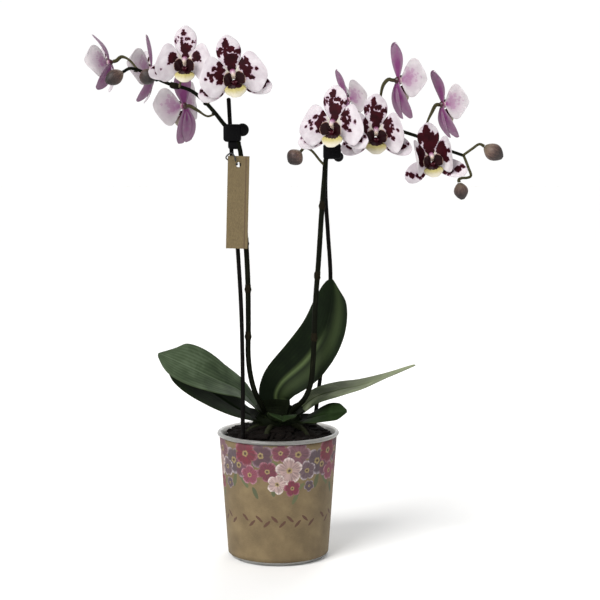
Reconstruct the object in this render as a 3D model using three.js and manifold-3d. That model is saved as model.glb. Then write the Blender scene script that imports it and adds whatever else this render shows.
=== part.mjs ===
// A potted multiflora moth orchid: two arching sprays of spotted blooms, clipped to stakes, in a sleeved
// nursery pot.
// Millimetres, +Z up, +X right, the sprays face -Y. The origin is the centre of the pot's underside.
import * as THREE from "three";
import { mergeVertices } from "three/addons/utils/BufferGeometryUtils.js";
import Module from "manifold-3d";

const wasm = await Module();
wasm.setup();

// Driving dimensions
const CLEARANCE = 0.35; // left between pieces that touch on the plant
const POT_HEIGHT = 121;
const LIP_RADIUS = 58.5;
const LIP_DEPTH = 3.2;
const POT_TOP_RADIUS = 55.6;
const POT_FOOT_RADIUS = 47.2;
const POT_WALL = 1.0;
const POT_FOOT_ROUND = 3.5;
const DRAIN_RADIUS = 4;
const DRAIN_RING = 33;
const DRAINS = 8;
const SLEEVE_LOW = 4;
const SLEEVE_HIGH = 117;
const SLEEVE_THICKNESS = 0.7;
const BARK_TOP = 113; // where the bark meets the pot
const BARK_RISE = 12; // how much higher it is heaped at the crown
const CHIPS = 12;
const POT_SEGMENTS = 32;
const CROWN = { low: 94, high: 146, foot: 12, belly: 25, neck: 17, flat: 0.5 };
const ROOT_RADIUS = 2.6;
const STAKE_RADIUS = 2.0;
const STAKE_FOOT = 24;
const STEM_RADIUS = 2.5;
const STEM_TIP_RADIUS = 1.5;
const PEDICEL_RADIUS = 1.15;
const OVARY_RADIUS = 1.9; // a flower stalk's radius just behind the bloom
const TEPAL_THICKNESS = 0.85;
const LEAF_THICKNESS = 1.7;
const PETAL = { length: 29, half: [1.9, 18.2, 7], peak: 0.56 };
const TOP_SEPAL = { length: 34, half: [2.4, 11, 3], peak: 0.58 };
const SIDE_SEPAL = { length: 34, half: [1.9, 9, 4], peak: 0.56 };
const LIP_MIDDLE = { length: 13.6, half: [1.9, 9.6, 4.6], peak: 0.45 };
const LIP_SIDE = { length: 6.8, half: [1.5, 6.2, 3.2], peak: 0.55 };
const COLUMN = [[0, 2.4, -0.5], [0, 2.6, 4], [0, 0.9, 7.6], [0, -1.9, 8.8]];
const BLOOM_BACK = 4.6; // how far a bloom reaches behind its centre
const TAG = { width: 20, height: 86, thickness: 0.9, hole: 2.4 };
const SEED = 11;

const COLOURS = {
  clear_plastic: { color: "#d9d8d4", roughness: 0.3 },
  printed_kraft: { color: "#8f6a4e", roughness: 0.75 },
  bark: { color: "#3b2a1e", roughness: 0.95 },
  crown: { color: "#33401f", roughness: 0.6 },
  leaf: { color: "#2b4023", roughness: 0.4 },
  spike: { color: "#2a2b20", roughness: 0.55 },
  stake: { color: "#1f1c19", roughness: 0.7 },
  clip: { color: "#0e0e0f", roughness: 0.35 },
  tag: { color: "#a3805c", roughness: 0.85 },
  tie: { color: "#151515", roughness: 0.5 },
  bud: { color: "#6f5b50", roughness: 0.6 },
  tepal: { color: "#f0e4ea", roughness: 0.55 },
  lip: { color: "#5a1024", roughness: 0.45 },
};

// Paths of the stems and stakes, each a list of points from the foot up
const LEFT_STAKE = [[-29, -30, STAKE_FOOT], [-33, -36, 122], [-33, -34, 170], [-34.5, -24, 240],
  [-38, -14, 300], [-43, -8.5, 380], [-46, -8, 438]];
const RIGHT_STAKE = [[30, 30, STAKE_FOOT], [36, 34, 120], [43, 32, 180], [49, 22, 235], [50.5, 11, 268],
  [47.5, 0, 312], [45, -4, 350], [45.5, -4, 380], [47, -4, 406]];
const LEFT_STEM = [[-13, -11.5, 141], [-16, -18, 149], [-21, -24, 160], [-25.5, -27, 176], [-28, -26, 196],
  [-28, -21, 225], [-28.5, -17, 270], [-31, -15, 320], [-33.5, -14, 375], [-36.5, -14.5, 394],
  [-42, -15.5, 405], [-50, -15, 413], [-58, -12, 423], [-69, -8, 435], [-82, -6, 445], [-102, -5, 451],
  [-118, -4, 458], [-131, -3, 464], [-138, -7, 465], [-144, -14, 461]];
const RIGHT_STEM = [[13, -11.5, 141], [18, -18, 147], [25, -24, 156], [30.5, -27, 170], [33, -28, 195],
  [35, -25, 245], [38, -22, 285], [41, -16, 330], [43.5, -13, 362], [45, -12, 380], [48.5, -11, 394],
  [56, -7, 407], [68, -1, 415], [84, 2, 419], [100, 4, 415], [116, 5, 408], [134, 5, 402], [148, 4, 396],
  [160, 3, 390], [170, 2, 386.5], [177, 1, 384]];
const RIGHT_FORK = { up: [[175, 1, 384], [184, 0, 390.5], [191, -1, 395], [195.5, -1, 393]],
  down: [[176, 1, 385], [181, 2, 373], [183.5, 2, 365], [180, 2, 363.3], [175, 2, 363], [172, 2, 361.5],
    [172.5, 2, 359]] };

// Each bloom: where its centre is, where it faces (turn to the right of -Y, nod above level), how it leans,
// its size, how far its petals swing forward (sweep, in degrees) and hang down at their tips (droop), how far
// its top sepal tips forward (hood) and how wide its two lower sepals stand from straight down (splay)
const BLOOMS = [
  { name: "left_1", at: [-160, 14, 472], turn: -98, nod: -14, roll: 0, size: 0.87, sweep: 46, hood: 13,
    droop: 0, splay: 44, pedicel: [[-131, -3, 464], [-140, 3, 474], [-148, 10, 477]] },
  { name: "left_2", at: [-121.5, 28, 467], turn: -96, nod: -4, roll: 0, size: 0.95, sweep: 44, hood: 5,
    droop: 0, splay: 30, pedicel: [[-112, -4.5, 455], [-107, 6, 461], [-108, 18, 464]] },
  { name: "left_3", at: [-84, -40, 468], turn: -3, nod: 4, roll: 0, size: 0.95, sweep: 30, hood: 2,
    droop: 9, splay: 72, pedicel: [[-92, -6, 448], [-88, -16, 460], [-83, -30, 468]] },
  { name: "left_4", at: [-40.5, -57, 455.5], turn: 6, nod: 0, roll: 9, size: 1.02, sweep: 14, hood: 0,
    droop: 6, splay: 64, pedicel: [[-66, -9, 432], [-56, -20, 443], [-43, -34, 453]] },
  { name: "left_5", at: [-90, 28, 432], turn: -135, nod: 2, roll: -12, size: 1, sweep: 30, hood: 0,
    droop: 0, splay: 6, pedicel: [[-58, -12, 423], [-66, -2, 421], [-76, 12, 427]] },
  { name: "right_1", at: [51, -55, 411], turn: -20, nod: 2, roll: 0, size: 1.02, sweep: 18, hood: 0,
    droop: 7, splay: 62, pedicel: [[55, -8, 405], [51, -18, 413], [50, -32, 412]] },
  { name: "right_2", at: [68, 36, 438.5], turn: 106, nod: 18, roll: 0, size: 0.88, sweep: 30, hood: 0,
    droop: 0, splay: 24, pedicel: [[72, 0, 417], [60, 12, 428], [56, 26, 434]] },
  { name: "right_3", at: [90, -36, 405], turn: 0, nod: 0, roll: 0, size: 1, sweep: 40, hood: 1,
    droop: 8, splay: 62, pedicel: [[98, 4, 415], [95, -10, 411], [91, -28, 404]] },
  { name: "right_4", at: [114.5, 6, 455], turn: 114, nod: -2, roll: 0, size: 1, sweep: 36, hood: -3,
    droop: 0, splay: 14, pedicel: [[98, 4, 415], [97, 3, 436], [100, 3, 451], [105, 3, 456]] },
  { name: "right_5", at: [156.6, 4, 432.4], turn: 112, nod: 4, roll: 0, size: 0.9, sweep: 38, hood: -7,
    droop: 0, splay: 14, pedicel: [[140, 5, 400], [141, 5, 413], [146, 4, 425]] },
  { name: "right_6", at: [140, -46, 381.5], turn: 2, nod: 6, roll: 8, size: 0.92, sweep: 60, hood: 12,
    droop: 4, splay: 56, pedicel: [[150, 4, 395], [147, -14, 390], [142, -30, 384]] },
];

// Each bud: the stalk that it ends, where its tip points, and its widest radius
const BUDS = [
  { name: "left_tip", stalk: LEFT_STEM.slice(-2), tip: [-158, -25, 451], radius: 7.2 },
  { name: "right_low", tip: [10.5, -22, 377], radius: 8.3,
    stalk: [[44.5, -12.5, 374], [39, -14, 380], [31, -17, 389], [25, -18.5, 391], [21.5, -19.5, 388]] },
  { name: "right_high", stalk: RIGHT_FORK.up, tip: [213, -1, 382], radius: 8.3 },
  { name: "right_hanging", stalk: RIGHT_FORK.down, tip: [176, 2, 342.5], radius: 6.9 },
  { name: "left_near", tip: [-117.5, -25, 452.5], radius: 7.8,
    stalk: [[-118, -4, 458], [-123, -5.5, 462], [-124.8, -8.7, 462.3], [-123.5, -11.5, 460.7]] },
];

// Each clip: its block, and the round hinge at one side of it
const CLIPS = {
  left: { centre: [-42.5, -12, 405], size: [17, 15, 17], hinge: { at: [-33, -13, 408], radius: 6.4 } },
  right: { centre: [51, -9, 388], size: [17, 15, 15], hinge: { at: [57, -10, 383], radius: 5 } },
};

// Each leaf: its midline from the crown out, the side its upper face looks to at the foot and at the tip,
// its half widths at the foot, at the widest place (peak) and at the tip, how far it is folded along its
// midrib, and how much longer one side of its tip is
const LEAVES = [
  { name: "left_upper",
    line: [[-20, 0, 142], [-36, -7, 160], [-60, -15, 173], [-87, -20, 187], [-112.5, -23, 199.5]],
    faces: [[0.45, -0.2, 0.87], [0.25, -0.8, 0.55]], half: [12, 24.5, 6.5], peak: 0.6, fold: 0.2, notch: 7 },
  { name: "left_lower", line: [[-23.6, -1, 134], [-38, -6, 142], [-63, -5, 158], [-106, -2, 187]],
    faces: [[0.2, -0.3, 0.93], [0.2, -0.62, 0.76]], half: [12, 24, 6], peak: 0.5, fold: 0.14, notch: 3 },
  { name: "right_tall",
    line: [[-2, 0, 147.6], [-2.5, -1, 156.5], [3, -4, 168], [26, -7, 190], [43, -7, 215], [50.5, -3, 241],
      [52, 0, 267]],
    faces: [[-0.2, -0.95, 0.1], [-0.3, -0.92, 0.2]], half: [14, 23, 6], peak: 0.42, fold: 0.3, notch: 6 },
  { name: "right_low",
    line: [[20.7, 1, 140.5], [36, 2, 152], [60, 4, 159], [80, 6, 163], [103, 8, 171], [133, 10, 183]],
    faces: [[-0.15, -0.3, 0.94], [-0.25, 0.1, 0.96]], half: [11, 21, 4], peak: 0.34, fold: 0.1, notch: 2 },
  { name: "right_short", line: [[24.7, -2, 131], [37, -11, 136], [49, -18, 140], [65, -23, 143]],
    faces: [[-0.1, -0.3, 0.94], [-0.1, -0.6, 0.8]], half: [9, 14.5, 4], peak: 0.55, fold: 0.15, notch: 1 },
  { name: "front_short", line: [[2, -13, 131.5], [3, -25, 138], [4, -38, 141.5], [5, -51, 139.5]],
    faces: [[0, 0.3, 0.95], [0.1, -0.3, 0.95]], half: [9, 14, 4], peak: 0.5, fold: 0.15, notch: 1 },
];

const vec = (p) => new THREE.Vector3(...p);
const curveOf = (points) => new THREE.CatmullRomCurve3(points.map(vec));
const radians = THREE.MathUtils.degToRad;
const lerp = THREE.MathUtils.lerp;
const smooth = THREE.MathUtils.smoothstep;
THREE.MathUtils.seededRandom(SEED);
const random = (low, high) => lerp(low, high, THREE.MathUtils.seededRandom());

// A closed geometry as a solid, and a solid as a geometry
function solidOf(geometry) {
  const bare = geometry.index ? geometry.toNonIndexed() : geometry.clone();
  bare.deleteAttribute("normal");
  bare.deleteAttribute("uv");
  const merged = mergeVertices(bare, 1e-3);
  return new wasm.Manifold(new wasm.Mesh({
    numProp: 3,
    vertProperties: merged.attributes.position.array,
    triVerts: new Uint32Array(merged.index.array),
  }));
}

function geometryOf(solid) {
  const mesh = solid.getMesh();
  const geometry = new THREE.BufferGeometry();
  geometry.setAttribute("position", new THREE.BufferAttribute(mesh.vertProperties, 3));
  geometry.setIndex(new THREE.BufferAttribute(mesh.triVerts, 1));
  geometry.computeVertexNormals();
  return geometry;
}

const joined = (geometries) => geometries.map(solidOf).reduce((all, one) => all.add(one));
const cut = (solid, tools) => tools.map(solidOf).reduce((rest, tool) => rest.subtract(tool), solid);

// Makes a mesh of one colour
function piece(name, geometry, colour) {
  const mesh = new THREE.Mesh(geometry, new THREE.MeshStandardMaterial(COLOURS[colour]));
  mesh.name = name;
  return mesh;
}

// The half width of a petal or leaf along its length, from its foot to its rounded tip
function halfWidth(t, { half: [foot, widest, tip], peak }) {
  if (t < peak) return foot + (widest - foot) * Math.sin((Math.PI / 2) * (t / peak)) ** 1.2;
  const past = (t - peak) / (1 - peak);
  return widest * Math.sqrt(Math.max(0, 1 - past ** 2 * (1 - (tip / widest) ** 2)));
}

// A sheet of even thickness on both sides of surface(u, t), u from -1 to 1 across and t from 0 to 1 along.
// Its two faces are split into triangles alike, and its rows lie closer towards the tip.
function blade(surface, thickness, across, along) {
  const STEP = 1e-3;
  const points = [];
  const row = (j) => Math.sin((Math.PI / 2) * (j / along));
  for (const side of [1, -1])
    for (let j = 0; j <= along; j++)
      for (let i = 0; i <= across; i++) {
        const u = (2 * i) / across - 1;
        const t = Math.min(Math.max(row(j), STEP), 1 - STEP);
        const widthways = surface(u + STEP, t).sub(surface(u - STEP, t));
        const lengthways = surface(u, t + STEP).sub(surface(u, t - STEP));
        const normal = widthways.cross(lengthways).normalize();
        points.push(surface(u, t).addScaledVector(normal, (side * thickness) / 2));
      }
  const top = (i, j) => j * (across + 1) + i;
  const under = (i, j) => (along + 1) * (across + 1) + top(i, j);
  const faces = [];
  for (let j = 0; j < along; j++)
    for (let i = 0; i < across; i++)
      faces.push(
        top(i, j), top(i + 1, j), top(i + 1, j + 1), top(i, j), top(i + 1, j + 1), top(i, j + 1),
        under(i, j), under(i + 1, j + 1), under(i + 1, j), under(i, j), under(i, j + 1), under(i + 1, j + 1));
  const rim = [];
  for (let i = 0; i < across; i++) rim.push([i, 0]);
  for (let j = 0; j < along; j++) rim.push([across, j]);
  for (let i = across; i > 0; i--) rim.push([i, along]);
  for (let j = along; j > 0; j--) rim.push([0, j]);
  rim.forEach((here, k) => {
    const next = rim[(k + 1) % rim.length];
    faces.push(top(...here), under(...here), under(...next), top(...here), under(...next), top(...next));
  });
  return new THREE.BufferGeometry().setFromPoints(points).setIndex(faces);
}

// A round body along a curve, of radius radiusAt(t), closed at both ends
function loft(curve, radiusAt, sides, steps) {
  const frames = curve.computeFrenetFrames(steps, false);
  const points = [];
  for (let j = 0; j <= steps; j++) {
    const centre = curve.getPointAt(j / steps);
    for (let i = 0; i < sides; i++) {
      const angle = (2 * Math.PI * i) / sides;
      const reach = radiusAt(j / steps);
      points.push(centre.clone()
        .addScaledVector(frames.normals[j], reach * Math.cos(angle))
        .addScaledVector(frames.binormals[j], reach * Math.sin(angle)));
    }
  }
  const foot = points.push(curve.getPointAt(0)) - 1;
  const head = points.push(curve.getPointAt(1)) - 1;
  const faces = [];
  for (let i = 0; i < sides; i++) {
    const k = (i + 1) % sides;
    for (let j = 0; j < steps; j++) {
      const low = j * sides;
      faces.push(low + i, low + k, low + sides + k, low + i, low + sides + k, low + sides + i);
    }
    faces.push(foot, k, i, head, steps * sides + i, steps * sides + k);
  }
  return new THREE.BufferGeometry().setFromPoints(points).setIndex(faces);
}

// A rod of even radius along a curve
function rod(curve, radius, sides, steps) {
  const corners = Array.from({ length: sides }, (_, i) => {
    const angle = (2 * Math.PI * i) / sides;
    return new THREE.Vector2(radius * Math.cos(angle), radius * Math.sin(angle));
  });
  return new THREE.ExtrudeGeometry(new THREE.Shape(corners), { steps, extrudePath: curve, curveSegments: 1 });
}

function upright(radius, low, high, x = 0, y = 0, sides = 16) {
  const cylinder = new THREE.CylinderGeometry(radius, radius, high - low, sides);
  return cylinder.rotateX(Math.PI / 2).translate(x, y, (low + high) / 2);
}

// A stake, or the plain hole that it stands in
const lowered = ([x, y, z], by) => [x, y, z - by];
const stakeRod = ([foot, ...rest], grow = 0) => rod(
  curveOf([lowered(foot, grow), ...rest]), STAKE_RADIUS + grow, 7, 14);

// Turned profiles run from the axis out, up and back to the axis, or round a closed loop
function turned(profile) {
  const points = profile.map(([r, z]) => new THREE.Vector2(r, z));
  return new THREE.LatheGeometry(points, POT_SEGMENTS).rotateX(Math.PI / 2);
}

const potRadius = (z) => lerp(POT_FOOT_RADIUS, POT_TOP_RADIUS, z / (POT_HEIGHT - LIP_DEPTH));

// The clear pot: a thin tapered wall with a rolled lip, and drain holes round the floor
function pot() {
  const under = POT_HEIGHT - LIP_DEPTH;
  const wall = turned([
    [0, 0],
    [POT_FOOT_RADIUS - POT_FOOT_ROUND, 0],
    [POT_FOOT_RADIUS - 1, 1.2],
    [potRadius(POT_FOOT_ROUND), POT_FOOT_ROUND],
    [POT_TOP_RADIUS, under],
    [LIP_RADIUS, under],
    [LIP_RADIUS, POT_HEIGHT - 1],
    [LIP_RADIUS - 1.2, POT_HEIGHT],
    [POT_TOP_RADIUS - 0.4, POT_HEIGHT],
    [POT_TOP_RADIUS - POT_WALL, POT_HEIGHT - 1.2],
    [POT_TOP_RADIUS - POT_WALL, under],
    [potRadius(POT_FOOT_ROUND) - POT_WALL, POT_FOOT_ROUND],
    [POT_FOOT_RADIUS - POT_FOOT_ROUND, 1.4],
    [0, 1.4],
  ]);
  const drains = Array.from({ length: DRAINS }, (_, i) => {
    const angle = (2 * Math.PI * (i + 0.5)) / DRAINS;
    return upright(DRAIN_RADIUS, -1, 3, DRAIN_RING * Math.cos(angle), DRAIN_RING * Math.sin(angle), 10);
  });
  return piece("pot", geometryOf(cut(solidOf(wall), drains)), "clear_plastic");
}

// The printed kraft sleeve round the pot, open at the top and the foot
function sleeve() {
  const inside = (z) => potRadius(z) + CLEARANCE;
  const outside = (z) => inside(z) + SLEEVE_THICKNESS;
  const wall = turned([
    [inside(SLEEVE_LOW), SLEEVE_LOW],
    [outside(SLEEVE_LOW), SLEEVE_LOW],
    [outside(SLEEVE_HIGH), SLEEVE_HIGH],
    [inside(SLEEVE_HIGH), SLEEVE_HIGH],
    [inside(SLEEVE_LOW), SLEEVE_LOW],
  ]);
  return piece("pot_sleeve", wall, "printed_kraft");
}

// The bark: a packed body with loose chips on top, and plain holes where the crown and the stakes stand
function bark() {
  const reach = (z) => potRadius(z) - POT_WALL - CLEARANCE - 0.1;
  const low = 1.4 + CLEARANCE;
  const heap = (away) => BARK_TOP + BARK_RISE * (1 - (away / POT_TOP_RADIUS) ** 2);
  const body = turned([
    [0, low],
    [POT_FOOT_RADIUS - POT_FOOT_ROUND - 1.2, low],
    [reach(POT_FOOT_ROUND) - 0.6, POT_FOOT_ROUND + 1],
    [reach(BARK_TOP), BARK_TOP],
    [30, heap(30)],
    [0, heap(0)],
  ]);
  const chips = Array.from({ length: CHIPS }, (_, i) => {
    const length = random(9, 17);
    const chip = new THREE.BoxGeometry(length, random(6, 10), random(4, 7));
    chip.rotateX(random(-0.4, 0.4)).rotateY(random(-0.35, 0.35)).rotateZ(random(0, Math.PI));
    const angle = i * 2.4;
    const away = 43 * Math.sqrt((i + 0.5) / CHIPS);
    return chip.translate(away * Math.cos(angle), away * Math.sin(angle), heap(away) + 0.5);
  });
  const holes = [
    stakeRod(LEFT_STAKE, CLEARANCE),
    stakeRod(RIGHT_STAKE, CLEARANCE),
    ...crownParts(CLEARANCE),
  ];
  return piece("bark", geometryOf(cut(joined([body, ...chips]), holes)), "bark");
}

// The crown: the short flat stem of clasping leaf bases, with thick roots that arch over into the bark
const ROOTS = [
  [[-12, -4, 125], [-20, -9, 127], [-28, -15, 123], [-32, -18, 112]],
  [[-5, -8, 125], [-8, -20, 127.5], [-11, -32, 123], [-12, -38, 111]],
  [[11, -6, 125], [19, -17, 128], [27, -29, 122], [29, -34, 110]],
  [[14, 4, 126], [25, 8, 128.5], [36, 12, 122], [40, 14, 110]],
  [[-10, 6, 126], [-18, 18, 128.5], [-24, 31, 121], [-25, 36, 109]],
];

function crownParts(grow = 0) {
  const middle = curveOf([[0, 0, CROWN.low - grow], [0, 0, 120], [0, 0, CROWN.high + grow]]);
  const swell = (t) => grow + (t < 0.7
    ? lerp(CROWN.foot, CROWN.belly, smooth(t, 0, 0.7))
    : lerp(CROWN.belly, CROWN.neck, smooth(t, 0.7, 1)));
  const body = loft(middle, swell, 12, 6).scale(1, CROWN.flat, 1);
  const roots = ROOTS.map((path) => loft(
    curveOf([...path.slice(0, -1), lowered(path.at(-1), grow)]),
    (t) => grow + ROOT_RADIUS * (1 - 0.15 * t), 5, 5));
  return [body, ...roots];
}

function crown() {
  return piece("crown", geometryOf(joined(crownParts())), "crown");
}

// A leaf: thick, folded along its midrib, with an uneven notch at the tip
function leaf(spec) {
  const { name, line, faces, half, fold, notch } = spec;
  const midline = curveOf(line);
  const [footFace, tipFace] = faces.map(vec);
  const surface = (u, t) => {
    const along = midline.getTangentAt(Math.min(Math.max(t, 0), 1));
    const face = footFace.clone().lerp(tipFace, t).normalize();
    const sideways = along.clone().cross(face).normalize();
    const out = sideways.clone().cross(along);
    const reach = halfWidth(t, spec);
    return midline.getPointAt(Math.min(Math.max(t, 0), 1))
      .addScaledVector(sideways, reach * u)
      .addScaledVector(out, fold * reach * Math.abs(u) ** 1.4 + 0.8 * Math.sin(9 * t + 2 * u) * u * u * t)
      .addScaledVector(along, -notch * Math.max(0, u) * smooth(t, 0.75, 1));
  };
  return piece(`leaf_${name}`, blade(surface, LEAF_THICKNESS, 4, half[1] > 15 ? 10 : 6), "leaf");
}

// The five tepals of a bloom in its own frame: X right, Y up, Z the way it faces
function tepals({ sweep, hood, droop, splay }) {
  const swing = radians(sweep);
  const topSepal = (u, t) => {
    const reach = halfWidth(t, TOP_SEPAL);
    return new THREE.Vector3(
      reach * u,
      1.5 + TOP_SEPAL.length * t - 0.1 * hood * t * t,
      -0.6 + (hood - 1.5) * t * t - 1.4 * u * u * t);
  };
  const petal = (hand) => (u, t) => {
    const reach = halfWidth(t, PETAL);
    const x = 2 + PETAL.length * t - 1.2 * u * u * t;
    const y = 0.6 + 2.6 * t - droop * t * t + reach * u * hand;
    const z = 1.3 + 2 * Math.sin(Math.PI * t) * (1 - u * u) - 1.2 * t + 0.9 * Math.sin(2.6 * u) * t * t;
    const bend = (1.6 * swing * x) / (2 + PETAL.length);
    return new THREE.Vector3(hand * x * (1 - bend ** 2 / 6), y, z + (x * bend) / 2);
  };
  const sideSepal = (hand) => (u, t) => {
    const reach = halfWidth(t, SIDE_SEPAL) * u;
    const away = 0.5 + SIDE_SEPAL.length * t;
    const out = Math.sin(radians(splay));
    const down = Math.cos(radians(splay));
    return new THREE.Vector3(
      hand * (1.2 + out * away) + down * reach,
      -1.6 - down * away + out * reach * hand,
      -1.7 - 1.8 * t * t + 0.65 * swing * away * t - 1.1 * u * u * t);
  };
  const back = curveOf([[0, 0, -BLOOM_BACK], [0, 0, -1.5], [0, 0, 2.1]]);
  return geometryOf(joined([
    blade(topSepal, TEPAL_THICKNESS, 2, 4),
    blade(petal(1), TEPAL_THICKNESS, 4, 3),
    blade(petal(-1), TEPAL_THICKNESS, 4, 3),
    blade(sideSepal(1), TEPAL_THICKNESS, 2, 3),
    blade(sideSepal(-1), TEPAL_THICKNESS, 2, 3),
    loft(curveOf(COLUMN), (t) => 2.5 + 0.8 * Math.sin(Math.PI * t) - 0.8 * t, 6, 3),
    loft(back, (t) => 1.7 + 3.2 * Math.sin(Math.PI * Math.min(t, 0.5)), 6, 2),
  ]));
}

// The lip: two side lobes cupped round the column and a middle lobe that reaches down and forward
function lip() {
  const middle = (u, t) => new THREE.Vector3(
    halfWidth(t, LIP_MIDDLE) * u,
    -6.6 - LIP_MIDDLE.length * t,
    4.4 + 6.4 * t - 1.6 * t * t - 1.6 * u * u);
  const side = (hand) => (u, t) => {
    const reach = halfWidth(t, LIP_SIDE) * u;
    return new THREE.Vector3(
      hand * (2 + LIP_SIDE.length * t) - 0.45 * reach,
      -6.6 + 5.2 * t + 0.85 * reach * hand,
      4.4 + 6.6 * t + 1.2 * u * u * t);
  };
  const claw = curveOf([[0, -5.8, 2.4], [0, -6.8, 4.4], [0, -8.4, 7.4]]);
  return geometryOf(joined([
    blade(middle, TEPAL_THICKNESS, 2, 3),
    blade(side(1), TEPAL_THICKNESS, 2, 2),
    blade(side(-1), TEPAL_THICKNESS, 2, 2),
    loft(claw, (t) => 1.4 + 1.4 * Math.sin(Math.PI * t), 5, 2),
  ]));
}

// A bloom, placed by its centre and turned to where it faces
const facing = ({ turn, nod }) => new THREE.Vector3(0, -1, 0)
  .applyAxisAngle(new THREE.Vector3(1, 0, 0), -radians(nod))
  .applyAxisAngle(new THREE.Vector3(0, 0, 1), radians(turn));

function bloom(spec) {
  const group = new THREE.Group();
  group.position.set(...spec.at);
  group.rotation.set(Math.PI / 2 - radians(spec.nod), 0, radians(spec.turn), "ZXY");
  group.rotateZ(radians(spec.roll));
  group.scale.setScalar(spec.size);
  group.add(piece(`bloom_${spec.name}_tepals`, tepals(spec), "tepal"));
  group.add(piece(`bloom_${spec.name}_lip`, lip(), "lip"));
  return group;
}

// The stalk of a bloom ends just behind it
function pedicel(spec) {
  const end = vec(spec.at).addScaledVector(facing(spec), -BLOOM_BACK * spec.size - CLEARANCE);
  const before = end.clone().addScaledVector(facing(spec), -3);
  const curve = new THREE.CatmullRomCurve3([...spec.pedicel.map(vec), before, end]);
  return loft(curve, (t) => lerp(PEDICEL_RADIUS, OVARY_RADIUS, smooth(t, 0.4, 0.8)), 5, 5);
}

const stemRadius = (t) => lerp(STEM_RADIUS, STEM_TIP_RADIUS, smooth(t, 0.45, 1));

// A stem's body, or the plain hole round it
const stemLoft = (path, grow = 0) => loft(curveOf(path), (t) => stemRadius(t) + grow, 6, 32);

// A joint of the stem, with its scale leaf
function stemJoint(curve, t) {
  const collar = new THREE.CylinderGeometry(STEM_RADIUS + 0.9, STEM_RADIUS + 0.1, 6, 6).rotateX(Math.PI / 2);
  const at = curve.getPointAt(t);
  const turn = new THREE.Quaternion().setFromUnitVectors(new THREE.Vector3(0, 0, 1), curve.getTangentAt(t));
  return collar.applyQuaternion(turn).translate(...at);
}

// A flower spike: the stem, its joints, and the stalks of its blooms and buds
function spike(name, path, joints, blooms, more) {
  const curve = curveOf(path);
  const solid = joined([
    stemLoft(path),
    ...joints.map((t) => stemJoint(curve, t)),
    ...blooms.map(pedicel),
    ...more,
  ]);
  return piece(name, geometryOf(solid), "spike");
}

function bud({ name, stalk, tip, radius }) {
  const end = vec(stalk.at(-1));
  const away = vec(tip).sub(end).normalize();
  const curve = new THREE.LineCurve3(end.addScaledVector(away, CLEARANCE + 0.2), vec(tip));
  const shape = (t) => radius * Math.sin(Math.PI * (0.05 + 0.91 * t)) ** 0.75;
  return piece(`bud_${name}`, loft(curve, shape, 7, 5), "bud");
}

// The clips: small blocks with a round hinge, closed about the stem and the stake
function clip(name, { centre, size, hinge }, stem, stake) {
  const body = new THREE.BoxGeometry(...size).translate(...centre);
  const knuckle = new THREE.SphereGeometry(hinge.radius, 8, 5).translate(...hinge.at);
  const holes = [stemLoft(stem, CLEARANCE), stakeRod(stake, CLEARANCE)];
  return piece(name, geometryOf(cut(joined([body, knuckle]), holes)), "clip");
}

// The card tag with its punched hole, and the wire tie that hangs it from the left stake
const TAG_PLACE = [-37.4, -22, 340.5];

function tag() {
  const outline = new THREE.Shape()
    .moveTo(-TAG.width / 2, -TAG.height / 2)
    .lineTo(TAG.width / 2, -TAG.height / 2)
    .lineTo(TAG.width / 2, TAG.height / 2)
    .lineTo(-TAG.width / 2, TAG.height / 2);
  outline.holes.push(new THREE.Path().absarc(0, TAG.height / 2 - 8, TAG.hole, 0, 2 * Math.PI));
  const card = new THREE.ExtrudeGeometry(
    outline, { depth: TAG.thickness, bevelEnabled: false, curveSegments: 6 });
  const mesh = piece("tag", card, "tag");
  mesh.position.set(...TAG_PLACE);
  mesh.rotation.set(Math.PI / 2, radians(1.5), 0);
  return mesh;
}

function tie() {
  const hole = vec(TAG_PLACE).add(vec([-1, 0, TAG.height / 2 - 8]));
  const path = [[0, -3.4, 1], [0, -1.8, 0], [0, 1.2, -0.2], [0.6, 7, 0.5], [0.2, 13, 1.5],
    [-4.2, 16.45, 3], [-9, 15, 5], [-10, 8, 7], [-7.5, 2, 9.6], [-4, -2.6, 10.5], [-1.5, -3.6, 7],
    [-0.6, -4, 3]];
  const loop = curveOf(path.map((point) => vec(point).add(hole).toArray()));
  return piece("tag_tie", rod(loop, 0.7, 5, 24), "tie");
}

const nearBud = BUDS.find(({ name }) => name === "left_near");
const left = BLOOMS.filter(({ name }) => name.startsWith("left"));
const right = BLOOMS.filter(({ name }) => name.startsWith("right"));
const lowBud = BUDS.find(({ name }) => name === "right_low");

const group = new THREE.Group();
group.add(pot(), sleeve(), bark(), crown());
group.add(...LEAVES.map(leaf));
group.add(spike("spike_left", LEFT_STEM, [0.2, 0.31, 0.42, 0.86], left, [
  loft(curveOf(nearBud.stalk), () => PEDICEL_RADIUS + 0.3, 5, 4),
]));
group.add(spike("spike_right", RIGHT_STEM, [0.2, 0.34, 0.5], right, [
  loft(curveOf(lowBud.stalk), () => PEDICEL_RADIUS, 5, 6),
  loft(curveOf(RIGHT_FORK.up), () => PEDICEL_RADIUS + 0.1, 5, 5),
  loft(curveOf(RIGHT_FORK.down), () => PEDICEL_RADIUS + 0.2, 5, 8),
]));
group.add(piece("stake_left", stakeRod(LEFT_STAKE), "stake"));
group.add(piece("stake_right", stakeRod(RIGHT_STAKE), "stake"));
group.add(clip("clip_left", CLIPS.left, LEFT_STEM, LEFT_STAKE));
group.add(clip("clip_right", CLIPS.right, RIGHT_STEM, RIGHT_STAKE));
group.add(tag(), tie());
group.add(...BUDS.map(bud));
group.add(...BLOOMS.map(bloom));

export default group;
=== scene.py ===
# %% [markdown]
# # A potted multiflora moth orchid
#
# Two arching sprays of white blooms blotched with maroon, clipped to dark stakes, in a clear nursery pot with
# a printed kraft sleeve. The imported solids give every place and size. Each one is replaced here by a finer
# piece that keeps its form, made in mesh code from the same few numbers, so nothing is fitted by eye.

# %% The frame, and the box that it fills
import math

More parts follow.
